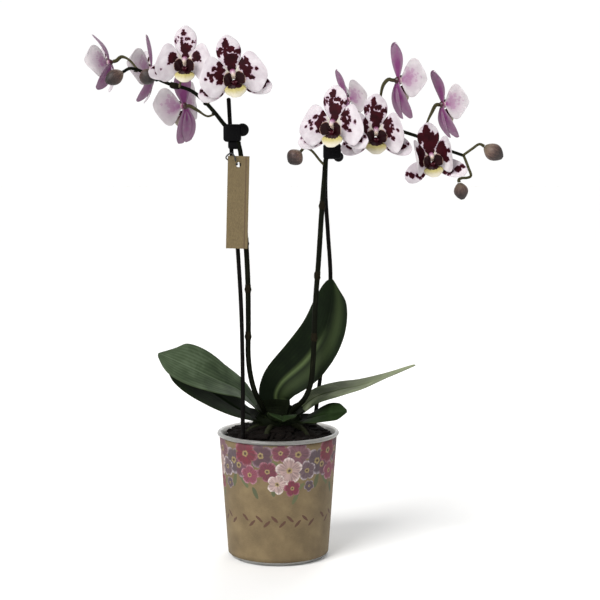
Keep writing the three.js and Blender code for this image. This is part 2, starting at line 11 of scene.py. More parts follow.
import bmesh
import bpy
import numpy as np
from mathutils import Matrix, Vector


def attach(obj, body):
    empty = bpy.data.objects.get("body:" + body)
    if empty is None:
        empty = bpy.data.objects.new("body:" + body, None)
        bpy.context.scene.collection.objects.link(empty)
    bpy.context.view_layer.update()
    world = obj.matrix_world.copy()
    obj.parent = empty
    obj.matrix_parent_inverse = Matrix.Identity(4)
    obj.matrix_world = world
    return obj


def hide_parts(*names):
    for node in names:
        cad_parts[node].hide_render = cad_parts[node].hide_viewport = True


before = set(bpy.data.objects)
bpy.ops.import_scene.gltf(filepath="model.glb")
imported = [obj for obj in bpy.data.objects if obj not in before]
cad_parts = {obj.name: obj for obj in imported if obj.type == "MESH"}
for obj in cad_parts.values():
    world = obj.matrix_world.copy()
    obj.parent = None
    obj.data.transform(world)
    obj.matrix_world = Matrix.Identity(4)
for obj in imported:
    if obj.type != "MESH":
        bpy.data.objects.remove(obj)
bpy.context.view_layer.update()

# %% [markdown]
# ## Helpers for materials
#
# Colours are picked on a screen, so they are written as sRGB hex values, and one function turns them into the
# linear values that the shader needs. One more function adds a node with its settings and what feeds it, and
# gives back its output, so a material reads from the pattern inwards. The short functions after it each add
# one common kind of node.

# %% Colours and nodes
def linear(code):
    """An sRGB hex colour as linear red, green, blue and alpha."""
    shares = [int(code[i:i + 2], 16) / 255 for i in (1, 3, 5)]
    return [s / 12.92 if s <= 0.04045 else ((s + 0.055) / 1.055) ** 2.4 for s in shares] + [1.0]


def node(tree, kind, feeds=None, out=0, **settings):
    """Adds a node, sets it, links or fills the sockets that feeds names, and returns one of its outputs."""
    made = tree.nodes.new(kind)
    for name, value in settings.items():
        setattr(made, name, value)
    for name, value in (feeds or {}).items():
        if isinstance(value, bpy.types.NodeSocket):
            tree.links.new(value, made.inputs[name])
        else:
            made.inputs[name].default_value = value
    return made.outputs[out] if made.outputs else None


def maths(tree, operation, *values, **settings):
    """A number worked out from numbers."""
    return node(tree, "ShaderNodeMath", dict(enumerate(values)), operation=operation, **settings)


def vectors(tree, operation, *values):
    """A vector worked out from vectors, or a vector's length."""
    out = "Value" if operation == "LENGTH" else "Vector"
    return node(tree, "ShaderNodeVectorMath", dict(enumerate(values)), out, operation=operation)


def joined(tree, x, y, z=0.0):
    """A vector from its three numbers."""
    return node(tree, "ShaderNodeCombineXYZ", {"X": x, "Y": y, "Z": z})


def apart(tree, vector):
    """A vector's three numbers, as outputs named X, Y and Z."""
    return node(tree, "ShaderNodeSeparateXYZ", {"Vector": vector}).node.outputs


def mapped(tree, value, low, high, most=1.0, least=0.0, **settings):
    """Runs from least to most while value runs from low to high, and stays level past them."""
    feeds = {"Value": value, "From Min": low, "From Max": high, "To Min": least, "To Max": most}
    return node(tree, "ShaderNodeMapRange", feeds, **settings)


def ramp(tree, share, *stops):
    """A colour picked by share along stops in rising order, each a place from 0 to 1 and a hex colour."""
    colour = node(tree, "ShaderNodeValToRGB", {"Fac": share})
    line = colour.node.color_ramp.elements
    for place, (where, code) in enumerate(stops):
        if place > 1:
            line.new(where)
        line[place].position = where
        line[place].color = linear(code)
    return colour


MIX_SHARE, MIX_FIRST, MIX_SECOND, MIX_RESULT = 0, 6, 7, 2  # the mix node's own numbers for colours


def blend(tree, share, first, second):
    """Goes from the first colour to the second, each a hex colour or an output."""
    first, second = (linear(one) if isinstance(one, str) else one for one in (first, second))
    feeds = {MIX_SHARE: share, MIX_FIRST: first, MIX_SECOND: second}
    return node(tree, "ShaderNodeMix", feeds, MIX_RESULT, data_type="RGBA")


def noise(tree, place, scale, detail, out=0, **feeds):
    """Smooth random values, with scale lumps to each unit of place."""
    return node(tree, "ShaderNodeTexNoise", {"Vector": place, "Scale": scale, "Detail": detail, **feeds}, out)


def waves(tree, value):
    """Even waves between 0 and 1 along value."""
    return maths(tree, "MULTIPLY_ADD", maths(tree, "SINE", value), 0.5, 0.5)


def stir(tree, flat, colours, reach):
    """Moves a flat place about by a noise's colours, by half of reach at most."""
    centred = vectors(tree, "SUBTRACT", colours, (0.5, 0.5, 0.5))
    return vectors(tree, "MULTIPLY_ADD", centred, (reach, reach, 0), flat)


def oval(tree, place, middle, half_x, half_y, turn=0.0):
    """How far out a place is in an oval: 0 in its middle and 1 on its outline."""
    away = vectors(tree, "SUBTRACT", place, (*middle, 0))
    if turn:
        feeds = {"Vector": away, "Angle": -turn}
        away = node(tree, "ShaderNodeVectorRotate", feeds, rotation_type="Z_AXIS")
    return vectors(tree, "LENGTH", vectors(tree, "MULTIPLY", away, (1 / half_x, 1 / half_y, 0)))


def dents(tree, height, strength, distance):
    """A surface bumped by height, where distance is in metres."""
    return node(tree, "ShaderNodeBump", {"Height": height, "Strength": strength, "Distance": distance})


def soft(weight, scale, radius):
    """Light that spreads under a thin skin: metres for red, green and blue, times scale."""
    return {"Subsurface Weight": weight, "Subsurface Scale": scale, "Subsurface Radius": radius}


def principled(tree, colour, roughness, bump=None, shine=0.5, **more):
    """The surface shader: shine is the strength of its reflections, and more fills any other sockets."""
    feeds = {"Base Color": colour, "Roughness": roughness, "Specular IOR Level": shine, **more}
    if bump is not None:
        feeds["Normal"] = bump
    return node(tree, "ShaderNodeBsdfPrincipled", feeds)


def material(name, paint, *looks, **choices):
    """A material whose shader the function paint makes."""
    made = bpy.data.materials.new(name)
    made.use_nodes = True
    made.node_tree.nodes.clear()
    shader = paint(made.node_tree, *looks, **choices)
    node(made.node_tree, "ShaderNodeOutputMaterial", {"Surface": shader})
    return made


def pattern(tree):
    """Where a point is in the millimetres that a piece's pattern is drawn in."""
    return node(tree, "ShaderNodeAttribute", out="Vector", attribute_name="pattern_mm")


def sheet_place(tree):
    """Across (-1 to 1), along (0 to 1) and side (1 front, 0 back) of a petal or leaf, as three outputs."""
    return apart(tree, node(tree, "ShaderNodeAttribute", out="Vector", attribute_name="across_along_side"))


print("helpers ready")

# %% [markdown]
# ## The camera, the light and the floor
#
# The plant stands on a plain pale floor in a soft studio: one broad light high at the left front that falls
# evenly on plant and floor, a weaker one from the right, and one from behind that rims the petals. The room
# is white behind the plant and low round the horizon, and dim elsewhere, so that dark stems and leaves stay
# dark. The camera looks from the photograph's own place, a little above the pot and level with the upper
# leaves, through a longer lens so that the plant fills the view.

# %% Camera
MM = 0.001
EYE = Vector((0.0, -1300.0, 367.0)) * MM
AIM = Vector((21.0, 0.0, 247.0)) * MM
LENS_MM = 82


def add(name, data):
    """Makes an object of the data and puts it in the scene."""
    made = bpy.data.objects.new(name, data)
    bpy.context.scene.collection.objects.link(made)
    return made


def look(thing, target):
    """Turns a camera or a light from where it is towards the target."""
    thing.rotation_euler = (target - thing.location).to_track_quat("-Z", "Y").to_euler()


camera = add("camera", bpy.data.cameras.new("camera"))
camera.data.lens = LENS_MM
camera.location = EYE
look(camera, AIM)
bpy.context.scene.camera = camera
bpy.context.scene.view_settings.view_transform = "Standard"  # colours come out as they are picked
print("camera", round((AIM - EYE).length, 3), "m away")

# %% Studio lights
PLANT_MIDDLE = Vector((0, 0, 0.28))


def studio_light(name, kind, place, power, colour, spread):
    """A sun that spreads over some degrees, or a round lamp some metres wide, aimed at the plant."""
    light = bpy.data.lights.new(name, kind)
    light.energy = power
    light.color = colour
    if kind == "SUN":
        light.angle = math.radians(spread)
    else:
        light.shape = "DISK"
        light.size = spread
    made = add(name, light)
    made.location = place
    look(made, PLANT_MIDDLE)


studio_light("key_light", "SUN", (-1.3, -1.6, 1.9), 2.95, (1.0, 0.99, 0.98), 34)
studio_light("fill_light", "AREA", (1.7, -1.2, 1.1), 5, (0.95, 0.97, 1.0), 1.6)
studio_light("back_light", "AREA", (0.4, 1.7, 1.5), 12, (1.0, 1.0, 1.0), 1.3)

# %% A room that is white behind and low down
ROOM_DIM, ROOM_WHITE = 0.4, 1.02
world = bpy.data.worlds.new("studio")
world.use_nodes = True
room = world.node_tree
towards = apart(room, node(room, "ShaderNodeTexCoord", out="Generated"))
behind = mapped(room, towards["Y"], 0.5, 0.85, ROOM_WHITE, ROOM_DIM)
low_down = mapped(room, towards["Z"], 0.3, 0.12, ROOM_WHITE, ROOM_DIM)
backdrop = room.nodes["Background"].inputs
room.links.new(maths(room, "MAXIMUM", behind, low_down), backdrop["Strength"])
backdrop["Color"].default_value = (1, 1, 1, 1)
bpy.context.scene.world = world
print("room from", ROOM_DIM, "to", ROOM_WHITE)


# %% The floor
def studio_paper(tree):
    """Matte pale background paper: no gloss, and a faint mottle a few centimetres wide."""
    place = node(tree, "ShaderNodeTexCoord", out="Object")
    mottle = noise(tree, place, 14, 2)
    colour = ramp(tree, mottle, (0.3, "#fbfbfa"), (0.7, "#fdfdfc"))
    return principled(tree, colour, 0.9)


FLOOR_HALF = 40.0
floor_mesh = bpy.data.meshes.new("floor")
floor_mesh.from_pydata(
    [(-FLOOR_HALF, -FLOOR_HALF, 0), (FLOOR_HALF, -FLOOR_HALF, 0), (FLOOR_HALF, FLOOR_HALF, 0),
     (-FLOOR_HALF, FLOOR_HALF, 0)], [], [(0, 1, 2, 3)])
floor = add("floor", floor_mesh)
floor.data.materials.append(material("background_paper", studio_paper))
print("floor", 2 * FLOOR_HALF, "m wide")

# %% [markdown]
# ## The plant's numbers
#
# These are the sizes, paths and places that the solids were made from, in millimetres. Repeating them here
# keeps each fine piece inside its solid.

# %% Sizes
CLEARANCE = 0.35
POT_HEIGHT, LIP_RADIUS, LIP_DEPTH = 121, 58.5, 3.2
POT_TOP_RADIUS, POT_FOOT_RADIUS, POT_WALL, POT_FOOT_ROUND = 55.6, 47.2, 1.0, 3.5
DRAIN_RADIUS, DRAIN_RING, DRAINS = 4, 33, 8
SLEEVE_LOW, SLEEVE_HIGH, SLEEVE_THICKNESS = 4, 117, 0.7
BARK_TOP, BARK_RISE = 113, 12
CROWN = {"low": 94, "high": 146, "foot": 12, "belly": 25, "neck": 17, "flat": 0.5}
ROOT_RADIUS = 2.6
STAKE_RADIUS, STAKE_FOOT = 2.0, 24
STEM_RADIUS, STEM_TIP_RADIUS, PEDICEL_RADIUS, OVARY_RADIUS = 2.5, 1.5, 1.15, 1.9
TEPAL_THICKNESS, LEAF_THICKNESS = 0.85, 1.7
PETAL_SKIN, LEAF_SKIN = 0.9 * TEPAL_THICKNESS, 0.92 * LEAF_THICKNESS  # thinner, to stay inside the solids
PETAL = {"length": 29, "half": (1.9, 18.2, 7), "peak": 0.56}
TOP_SEPAL = {"length": 34, "half": (2.4, 11, 3), "peak": 0.58}
SIDE_SEPAL = {"length": 34, "half": (1.9, 9, 4), "peak": 0.56}
LIP_MIDDLE = {"length": 13.6, "half": (1.9, 9.6, 4.6), "peak": 0.45}
LIP_SIDE = {"length": 6.8, "half": (1.5, 6.2, 3.2), "peak": 0.55}
COLUMN = [(0, 2.4, -0.5), (0, 2.6, 4), (0, 0.9, 7.6), (0, -1.9, 8.8)]
BLOOM_BACK = 4.6
TAG = {"width": 20, "height": 86, "thickness": 0.9, "hole": 2.4, "hole_down": 8}
TAG_PLACE = (-37.4, -22, 340.5)
SEED = 11
# Millimetres of pattern between one piece of a kind and the next, so that no two look alike
SLICES = {"cup": 60, "root": 80, "leaf": 90, "stalk": 70, "bloom": 37, "lip": 23, "bud": 31}
print("pot", 2 * LIP_RADIUS, "mm over its lip,", POT_HEIGHT, "mm high")

# %% Paths of stakes and stems, from the foot up
LEFT_STAKE = [(-29, -30, STAKE_FOOT), (-33, -36, 122), (-33, -34, 170), (-34.5, -24, 240), (-38, -14, 300),
              (-43, -8.5, 380), (-46, -8, 438)]
RIGHT_STAKE = [(30, 30, STAKE_FOOT), (36, 34, 120), (43, 32, 180), (49, 22, 235), (50.5, 11, 268),
               (47.5, 0, 312), (45, -4, 350), (45.5, -4, 380), (47, -4, 406)]
LEFT_STEM = [(-13, -11.5, 141), (-16, -18, 149), (-21, -24, 160), (-25.5, -27, 176), (-28, -26, 196),
             (-28, -21, 225), (-28.5, -17, 270), (-31, -15, 320), (-33.5, -14, 375), (-36.5, -14.5, 394),
             (-42, -15.5, 405), (-50, -15, 413), (-58, -12, 423), (-69, -8, 435), (-82, -6, 445),
             (-102, -5, 451), (-118, -4, 458), (-131, -3, 464), (-138, -7, 465), (-144, -14, 461)]
RIGHT_STEM = [(13, -11.5, 141), (18, -18, 147), (25, -24, 156), (30.5, -27, 170), (33, -28, 195),
              (35, -25, 245), (38, -22, 285), (41, -16, 330), (43.5, -13, 362), (45, -12, 380),
              (48.5, -11, 394), (56, -7, 407), (68, -1, 415), (84, 2, 419), (100, 4, 415), (116, 5, 408),
              (134, 5, 402), (148, 4, 396), (160, 3, 390), (170, 2, 386.5), (177, 1, 384)]
FORK_UP = [(175, 1, 384), (184, 0, 390.5), (191, -1, 395), (195.5, -1, 393)]
FORK_DOWN = [(176, 1, 385), (181, 2, 373), (183.5, 2, 365), (180, 2, 363.3), (175, 2, 363), (172, 2, 361.5),
             (172.5, 2, 359)]
LOW_STALK = [(44.5, -12.5, 374), (39, -14, 380), (31, -17, 389), (25, -18.5, 391), (21.5, -19.5, 388)]
NEAR_STALK = [(-118, -4, 458), (-123, -5.5, 462), (-124.8, -8.7, 462.3), (-123.5, -11.5, 460.7)]
print("stems of", len(LEFT_STEM), "and", len(RIGHT_STEM), "points")

# %% Blooms, buds and leaves
# at is a bloom's middle in mm, and turn, nod and roll turn it in degrees. sweep, hood, droop and splay bend
# and place its tepals. spread is how many mm its blotches reach past those of the usual bloom, and pedicel
# is where its stalk runs.
BLOOMS = {
    "left_1": dict(at=(-160, 14, 472), turn=-98, nod=-14, roll=0, size=0.87, sweep=46, hood=13, droop=0,
                   splay=44, spread=-0.6, pedicel=[(-131, -3, 464), (-140, 3, 474), (-148, 10, 477)]),
    "left_2": dict(at=(-121.5, 28, 467), turn=-96, nod=-4, roll=0, size=0.95, sweep=44, hood=5, droop=0,
                   splay=30, spread=0.0, pedicel=[(-112, -4.5, 455), (-107, 6, 461), (-108, 18, 464)]),
    "left_3": dict(at=(-84, -40, 468), turn=-3, nod=4, roll=0, size=0.95, sweep=30, hood=2, droop=9,
                   splay=72, spread=0.1, top_spread=-0.3, petal_finish=4,
                   pedicel=[(-92, -6, 448), (-88, -16, 460), (-83, -30, 468)]),
    "left_4": dict(at=(-40.5, -57, 455.5), turn=6, nod=0, roll=9, size=1.02, sweep=14, hood=0, droop=6,
                   splay=64, spread=0.5, top_spread=0.4,
                   pedicel=[(-66, -9, 432), (-56, -20, 443), (-43, -34, 453)]),
    "left_5": dict(at=(-90, 28, 432), turn=-135, nod=2, roll=-12, size=1, sweep=30, hood=0, droop=0,
                   splay=6, spread=0.0, pedicel=[(-58, -12, 423), (-66, -2, 421), (-76, 12, 427)]),
    "right_1": dict(at=(51, -55, 411), turn=-20, nod=2, roll=0, size=1.02, sweep=18, hood=0, droop=7,
                    splay=62, spread=0.2, pedicel=[(55, -8, 405), (51, -18, 413), (50, -32, 412)]),
    "right_2": dict(at=(68, 36, 438.5), turn=106, nod=18, roll=0, size=0.88, sweep=30, hood=0, droop=0,
                    splay=24, spread=0.0, pedicel=[(72, 0, 417), (60, 12, 428), (56, 26, 434)]),
    "right_3": dict(at=(90, -36, 405), turn=0, nod=0, roll=0, size=1, sweep=40, hood=1, droop=8, splay=62,
                    spread=0.3, pedicel=[(98, 4, 415), (95, -10, 411), (91, -28, 404)]),
    "right_4": dict(at=(114.5, 6, 455), turn=114, nod=-2, roll=0, size=1, sweep=36, hood=-3, droop=0,
                    splay=14, spread=0.0, pedicel=[(98, 4, 415), (97, 3, 436), (100, 3, 451),
                                                   (105, 3, 456)]),
    "right_5": dict(at=(156.6, 4, 432.4), turn=112, nod=4, roll=0, size=0.9, sweep=38, hood=-7, droop=0,
                    splay=14, spread=0.0, pedicel=[(140, 5, 400), (141, 5, 413), (146, 4, 425)]),
    "right_6": dict(at=(140, -46, 381.5), turn=2, nod=6, roll=8, size=0.92, sweep=60, hood=12, droop=4,
                    splay=56, spread=1.3, pedicel=[(150, 4, 395), (147, -14, 390), (142, -30, 384)]),
}
BUDS = {
    "left_tip": dict(stalk_end=LEFT_STEM[-1], tip=(-158, -25, 451), radius=7.2),
    "right_low": dict(stalk_end=LOW_STALK[-1], tip=(10.5, -22, 377), radius=8.3),
    "right_high": dict(stalk_end=FORK_UP[-1], tip=(213, -1, 382), radius=8.3),
    "right_hanging": dict(stalk_end=FORK_DOWN[-1], tip=(176, 2, 342.5), radius=6.9),
    "left_near": dict(stalk_end=NEAR_STALK[-1], tip=(-117.5, -25, 452.5), radius=7.8),
}
LEAVES = {
    "left_upper": dict(line=[(-20, 0, 142), (-36, -7, 160), (-60, -15, 173), (-87, -20, 187),
                             (-112.5, -23, 199.5)], faces=[(0.45, -0.2, 0.87), (0.25, -0.8, 0.55)],
                       half=(12, 24.5, 6.5), peak=0.6, fold=0.2, notch=7, skin="grey_green"),
    "left_lower": dict(line=[(-23.6, -1, 134), (-38, -6, 142), (-63, -5, 158), (-106, -2, 187)],
                       faces=[(0.2, -0.3, 0.93), (0.2, -0.62, 0.76)], half=(12, 24, 6), peak=0.5, fold=0.14,
                       notch=3, skin="dark"),
    "right_tall": dict(line=[(-2, 0, 147.6), (-2.5, -1, 156.5), (3, -4, 168), (26, -7, 190), (43, -7, 215),
                             (50.5, -3, 241), (52, 0, 267)], faces=[(-0.2, -0.95, 0.1), (-0.3, -0.92, 0.2)],
                       half=(14, 23, 6), peak=0.42, fold=0.3, notch=6, skin="banded"),
    "right_low": dict(line=[(20.7, 1, 140.5), (36, 2, 152), (60, 4, 159), (80, 6, 163), (103, 8, 171),
                            (133, 10, 183)], faces=[(-0.15, -0.3, 0.94), (-0.25, 0.1, 0.96)],
                      half=(11, 21, 4), peak=0.34, fold=0.1, notch=2, skin="olive"),
    "right_short": dict(line=[(24.7, -2, 131), (37, -11, 136), (49, -18, 140), (65, -23, 143)],
                        faces=[(-0.1, -0.3, 0.94), (-0.1, -0.6, 0.8)], half=(9, 14.5, 4), peak=0.55,
                        fold=0.15, notch=1, skin="dark"),
    "front_short": dict(line=[(2, -13, 131.5), (3, -25, 138), (4, -38, 141.5), (5, -51, 139.5)],
                        faces=[(0, 0.3, 0.95), (0.1, -0.3, 0.95)], half=(9, 14, 4), peak=0.5, fold=0.15,
                        notch=1, skin="dark"),
}
print(len(BLOOMS), "blooms,", len(BUDS), "buds,", len(LEAVES), "leaves")

# %% [markdown]
# ## Curves, tubes and sheets
#
# Nearly everything on a plant is either a tube along a curve or a thin sheet. The curve runs smoothly through
# a few points, and is walked evenly by its length. A tube is a ring of points carried along such a curve
# without twisting. A sheet is a grid with two skins, thick in the middle and thin at its rim. Plain arrays
# make these faster than modifiers would, and each point can carry the millimetres that its pattern is
# drawn in.

# %% A smooth path
def zipped(*columns):
    """Equal arrays side by side, such as x, y and z, along a new last axis."""
    return np.stack(columns, -1)


class Path:
    """A smooth curve through points, walked evenly by its length from 0 to 1."""

    def __init__(self, points, samples=40):
        knots = np.array(points, float)
        knots = np.vstack([2 * knots[0] - knots[1], knots, 2 * knots[-1] - knots[-2]])
        share = np.linspace(0, 1, samples, endpoint=False)[:, None]
        runs = []
        for before, start, end, after in zip(knots, knots[1:], knots[2:], knots[3:]):
            d0, d1, d2 = (np.linalg.norm(gap) ** 0.5 for gap in (start - before, end - start, after - end))
            leave = ((start - before) / d0 - (end - before) / (d0 + d1) + (end - start) / d1) * d1
            arrive = ((end - start) / d1 - (after - start) / (d1 + d2) + (after - end) / d2) * d1
            runs.append(start + leave * share + (3 * (end - start) - 2 * leave - arrive) * share**2
                        + (2 * (start - end) + leave + arrive) * share**3)
        self.points = np.vstack([*runs, knots[-2:-1]])
        steps = np.linalg.norm(np.diff(self.points, axis=0), axis=1)
        self.length = steps.sum()
        self.walked = np.append(0, np.cumsum(steps)) / self.length

    def at(self, s):
        s = np.clip(s, 0, 1)
        return np.stack([np.interp(s, self.walked, axis) for axis in self.points.T], axis=-1)

    def heading(self, s):
        ahead = self.at(np.asarray(s) + 0.004) - self.at(np.asarray(s) - 0.004)
        return ahead / np.linalg.norm(ahead, axis=-1, keepdims=True)


print("left stem", round(Path(LEFT_STEM).length), "mm long, right stem", round(Path(RIGHT_STEM).length), "mm")


# %% Parts of a piece
def smooth(x, low, high):
    share = np.clip((x - low) / (high - low), 0, 1)
    return share * share * (3 - 2 * share)


def part(points, faces, drawn=None, place=None, finish=0, spread=0.0):
    """One form: points in mm, faces, where its pattern is drawn, its place as a sheet, and its material."""
    points = np.asarray(points, float)
    drawn = points if drawn is None else drawn
    place = np.tile([0.0, 0.5, 1.0], (len(points), 1)) if place is None else place
    return dict(points=points, faces=faces, drawn=drawn, place=place, finish=finish, spread=spread)


def tube(path, radius_at, sides=12, steps=24, close_ends=False, finish=0, offset=0.0, wide=1.0):
    """A round body along a path. radius_at(s, angle) gives its radius; wide stretches it sideways."""
    s = np.linspace(0, 1, steps + 1)
    s = (1 - np.cos(np.pi * s)) / 2 if close_ends else s
    centre, heading = path.at(s), path.heading(s)
    side = np.zeros_like(centre)
    start = np.eye(3)[np.argmin(np.abs(heading[0]))]
    side[0] = np.cross(heading[0], start)
    for j in range(1, len(s)):
        side[j] = side[j - 1] - heading[j] * (side[j - 1] @ heading[j])
        side[j] /= np.linalg.norm(side[j])
    side[0] /= np.linalg.norm(side[0])
    other = np.cross(heading, side)
    angle = np.linspace(0, 2 * np.pi, sides, endpoint=False)
    reach = radius_at(s[:, None], angle[None, :]) * np.ones((len(s), sides))
    ring = (side[:, None] * (wide * reach * np.cos(angle))[..., None]
            + other[:, None] * (reach * np.sin(angle))[..., None])
    points = np.vstack([(centre[:, None] + ring).reshape(-1, 3), centre[:1], centre[-1:]])
    rows = np.arange(len(s) * sides).reshape(len(s), sides)
    next_in_row = np.roll(rows, -1, axis=1)
    walls = zipped(rows[:-1], next_in_row[:-1], next_in_row[1:], rows[1:]).reshape(-1, 4)
    foot, head = len(points) - 2, len(points) - 1
    caps = [(foot, b, a) for a, b in zip(rows[0], next_in_row[0])]
    caps += [(head, a, b) for a, b in zip(rows[-1], next_in_row[-1])]
    straight = zipped(reach * np.cos(angle), reach * np.sin(angle),
                      np.broadcast_to(s[:, None] * path.length + offset, reach.shape)).reshape(-1, 3)
    drawn = np.vstack([straight, [0, 0, offset], [0, 0, path.length + offset]])
    along = np.append(np.repeat(s, sides), [0, 1])
    place = zipped(np.zeros_like(along), along, np.ones_like(along))
    return part(points, walls.tolist() + caps, drawn, place, finish)


def half_width(t, form):
    """The half width of a petal or leaf along its length, from its foot to its rounded tip."""
    foot, widest, tip = form["half"]
    rising = foot + (widest - foot) * np.sin(np.pi / 2 * np.clip(t / form["peak"], 0, 1)) ** 1.2
    past = np.clip((t - form["peak"]) / (1 - form["peak"]), 0, 1)
    return np.where(t < form["peak"], rising, widest * np.sqrt(1 - past**2 * (1 - (tip / widest) ** 2)))


def sheet(surface, across, along, thickness, drawn_at, finish=0, thin=0.6, spread=0.0, hand=1):
    """A two-skinned sheet over surface(u, t), thinner towards its rim, its pattern drawn at drawn_at(u, t).
    Where t runs clockwise from u, seen from the front, hand is -1."""
    step = 1e-3
    rows = np.sin(np.pi / 2 * np.linspace(0, 1, along + 1)).clip(step, 1 - step)
    t, u = (grid.ravel() for grid in np.meshgrid(rows, hand * np.linspace(-1, 1, across + 1), indexing="ij"))
    rightwards = surface(u + step, t) - surface(u - step, t)
    normal = np.cross(rightwards, surface(u, t + step) - surface(u, t - step))
    normal *= hand / np.linalg.norm(normal, axis=1, keepdims=True)
    half = (thickness / 2 * (1 - thin * np.abs(u) ** 4) * (1 - thin * t**8))[:, None]
    middle = surface(u, t)
    count = len(u)
    index = np.arange(count).reshape(along + 1, across + 1)
    front = zipped(index[:-1, :-1], index[:-1, 1:], index[1:, 1:], index[1:, :-1]).reshape(-1, 4)
    rim = np.concatenate([index[0], index[1:, -1], index[-1, -2::-1], index[-2:0:-1, 0]])
    after = np.roll(rim, -1)
    edge = zipped(rim, rim + count, after + count, after)
    faces = np.vstack([front, front[:, ::-1] + count, edge]).tolist()
    drawn = np.tile(drawn_at(u, t), (2, 1))
    place = np.vstack([zipped(u, t, np.full(count, side)) for side in (1.0, 0.0)])
    skins = np.vstack([middle + normal * half, middle - normal * half])
    return part(skins, faces, drawn, place, finish, spread)


def turned(profile, segments=160, finish=0):
    """A closed profile of (radius, height) points, turned about the pot's axis."""
    profile = np.array(profile, float)
    angle = np.linspace(0, 2 * np.pi, segments, endpoint=False)
    ring = zipped(np.cos(angle), np.sin(angle))
    points = np.concatenate([profile[:, None, :1] * ring[None],
                             np.broadcast_to(profile[:, None, 1:], (len(profile), segments, 1))], -1)
    rows = np.arange(len(profile) * segments).reshape(len(profile), segments)
    above, beside = np.roll(rows, -1, axis=0), np.roll(rows, -1, axis=1)
    faces = zipped(rows, beside, np.roll(beside, -1, axis=0), above).reshape(-1, 4).tolist()
    return part(points.reshape(-1, 3), faces, finish=finish)


# %% From parts to a piece
def piece(name, parts, finishes, slot, *nodes):
    """Joins parts into one smooth piece that rides on the plant and stands for the given nodes."""
    starts = np.cumsum([0] + [len(one["points"]) for one in parts])
    faces = [[corner + start for corner in face]
             for one, start in zip(parts, starts) for face in one["faces"]]
    mesh = bpy.data.meshes.new(name)
    mesh.from_pydata((np.vstack([one["points"] for one in parts]) * MM).tolist(), [], faces)
    for label, key in (("pattern_mm", "drawn"), ("across_along_side", "place")):
        values = np.vstack([one[key] for one in parts])
        mesh.attributes.new(label, "FLOAT_VECTOR", "POINT").data.foreach_set("vector", values.ravel())
    spreads = np.concatenate([np.full(len(one["points"]), one["spread"]) for one in parts])
    mesh.attributes.new("spread_mm", "FLOAT", "POINT").data.foreach_set("value", spreads)
    for finish in finishes:
        mesh.materials.append(finish)
    numbers = np.concatenate([np.full(len(one["faces"]), one["finish"]) for one in parts])
    mesh.polygons.foreach_set("material_index", numbers)
    mesh.polygons.foreach_set("use_smooth", np.ones(len(mesh.polygons), bool))
    mesh.validate()
    made = add(name, mesh)
    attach(made, "root")
    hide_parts(*nodes)
    return made


print("shape helpers ready")

# %% [markdown]
# ## The pot
#
# A moth orchid is sold in a clear pot, because its roots use light. It is polypropylene, injection moulded:
# slightly milky, with a satin gloss, a wall of about one millimetre, a rolled lip that stiffens it, and drain
# holes in its foot. A turned profile gives all of it, and a Boolean drills the holes.

# %% Clear polypropylene
def clear_polypropylene(tree):
    """Milky clear plastic: most light goes through, softened, with faint flow marks about 5 mm wide."""
    marks = noise(tree, pattern(tree), 0.22, 3)
    colour = ramp(tree, marks, (0.3, "#c6c5c1"), (0.7, "#d9d8d4"))
    bump = dents(tree, marks, 0.12, 0.0004)
    return principled(tree, colour, 0.28, bump, IOR=1.49, **{"Transmission Weight": 0.8})


def pot_radius(z):
    return POT_FOOT_RADIUS + (POT_TOP_RADIUS - POT_FOOT_RADIUS) * z / (POT_HEIGHT - LIP_DEPTH)


under = POT_HEIGHT - LIP_DEPTH
inner_top = POT_TOP_RADIUS - POT_WALL
pot_profile = [
    (0.01, 0.9), (12, 0.9), (14, 0.1), (POT_FOOT_RADIUS - POT_FOOT_ROUND, 0), (POT_FOOT_RADIUS - 1.6, 0.6),
    (POT_FOOT_RADIUS - 0.5, 1.9), (pot_radius(POT_FOOT_ROUND), POT_FOOT_ROUND), (pot_radius(60), 60),
    (POT_TOP_RADIUS, under - 0.4), (POT_TOP_RADIUS + 0.5, under), (LIP_RADIUS - 0.7, under),
    (LIP_RADIUS - 0.1, under + 0.5), (LIP_RADIUS, under + 1.2), (LIP_RADIUS - 0.1, POT_HEIGHT - 1.2),
    (LIP_RADIUS - 0.6, POT_HEIGHT - 0.4), (LIP_RADIUS - 1.4, POT_HEIGHT), (inner_top + 1, POT_HEIGHT),
    (inner_top + 0.3, POT_HEIGHT - 0.5), (inner_top, POT_HEIGHT - 1.4), (inner_top, under),
    (pot_radius(60) - POT_WALL, 60), (pot_radius(POT_FOOT_ROUND) - POT_WALL, POT_FOOT_ROUND + 0.8),
    (POT_FOOT_RADIUS - POT_FOOT_ROUND, 1.4), (0.01, 1.4)]
pot = piece("clear_pot", [turned(pot_profile)], [material("clear_polypropylene", clear_polypropylene)],
            "clear_plastic", "pot")
drills = bmesh.new()
for i in range(DRAINS):
    angle = 2 * math.pi * (i + 0.5) / DRAINS
    place = Matrix.Translation(Vector((DRAIN_RING * math.cos(angle), DRAIN_RING * math.sin(angle), 0.5)) * MM)
    bmesh.ops.create_cone(drills, cap_ends=True, segments=28, radius1=DRAIN_RADIUS * MM,
                          radius2=DRAIN_RADIUS * MM, depth=6 * MM, matrix=place)
drill_mesh = bpy.data.meshes.new("drills")
drills.to_mesh(drill_mesh)
drills.free()
drill = add("drills", drill_mesh)
hole_cut = pot.modifiers.new("drain_holes", "BOOLEAN")
hole_cut.operation = "DIFFERENCE"
hole_cut.object = drill
hole_cut.solver = "EXACT"
ready = bpy.context.evaluated_depsgraph_get()
drilled = bpy.data.meshes.new_from_object(pot.evaluated_get(ready))
pot.modifiers.clear()
pot.data = drilled
bpy.data.objects.remove(drill)
print("pot faces", len(pot.data.polygons))

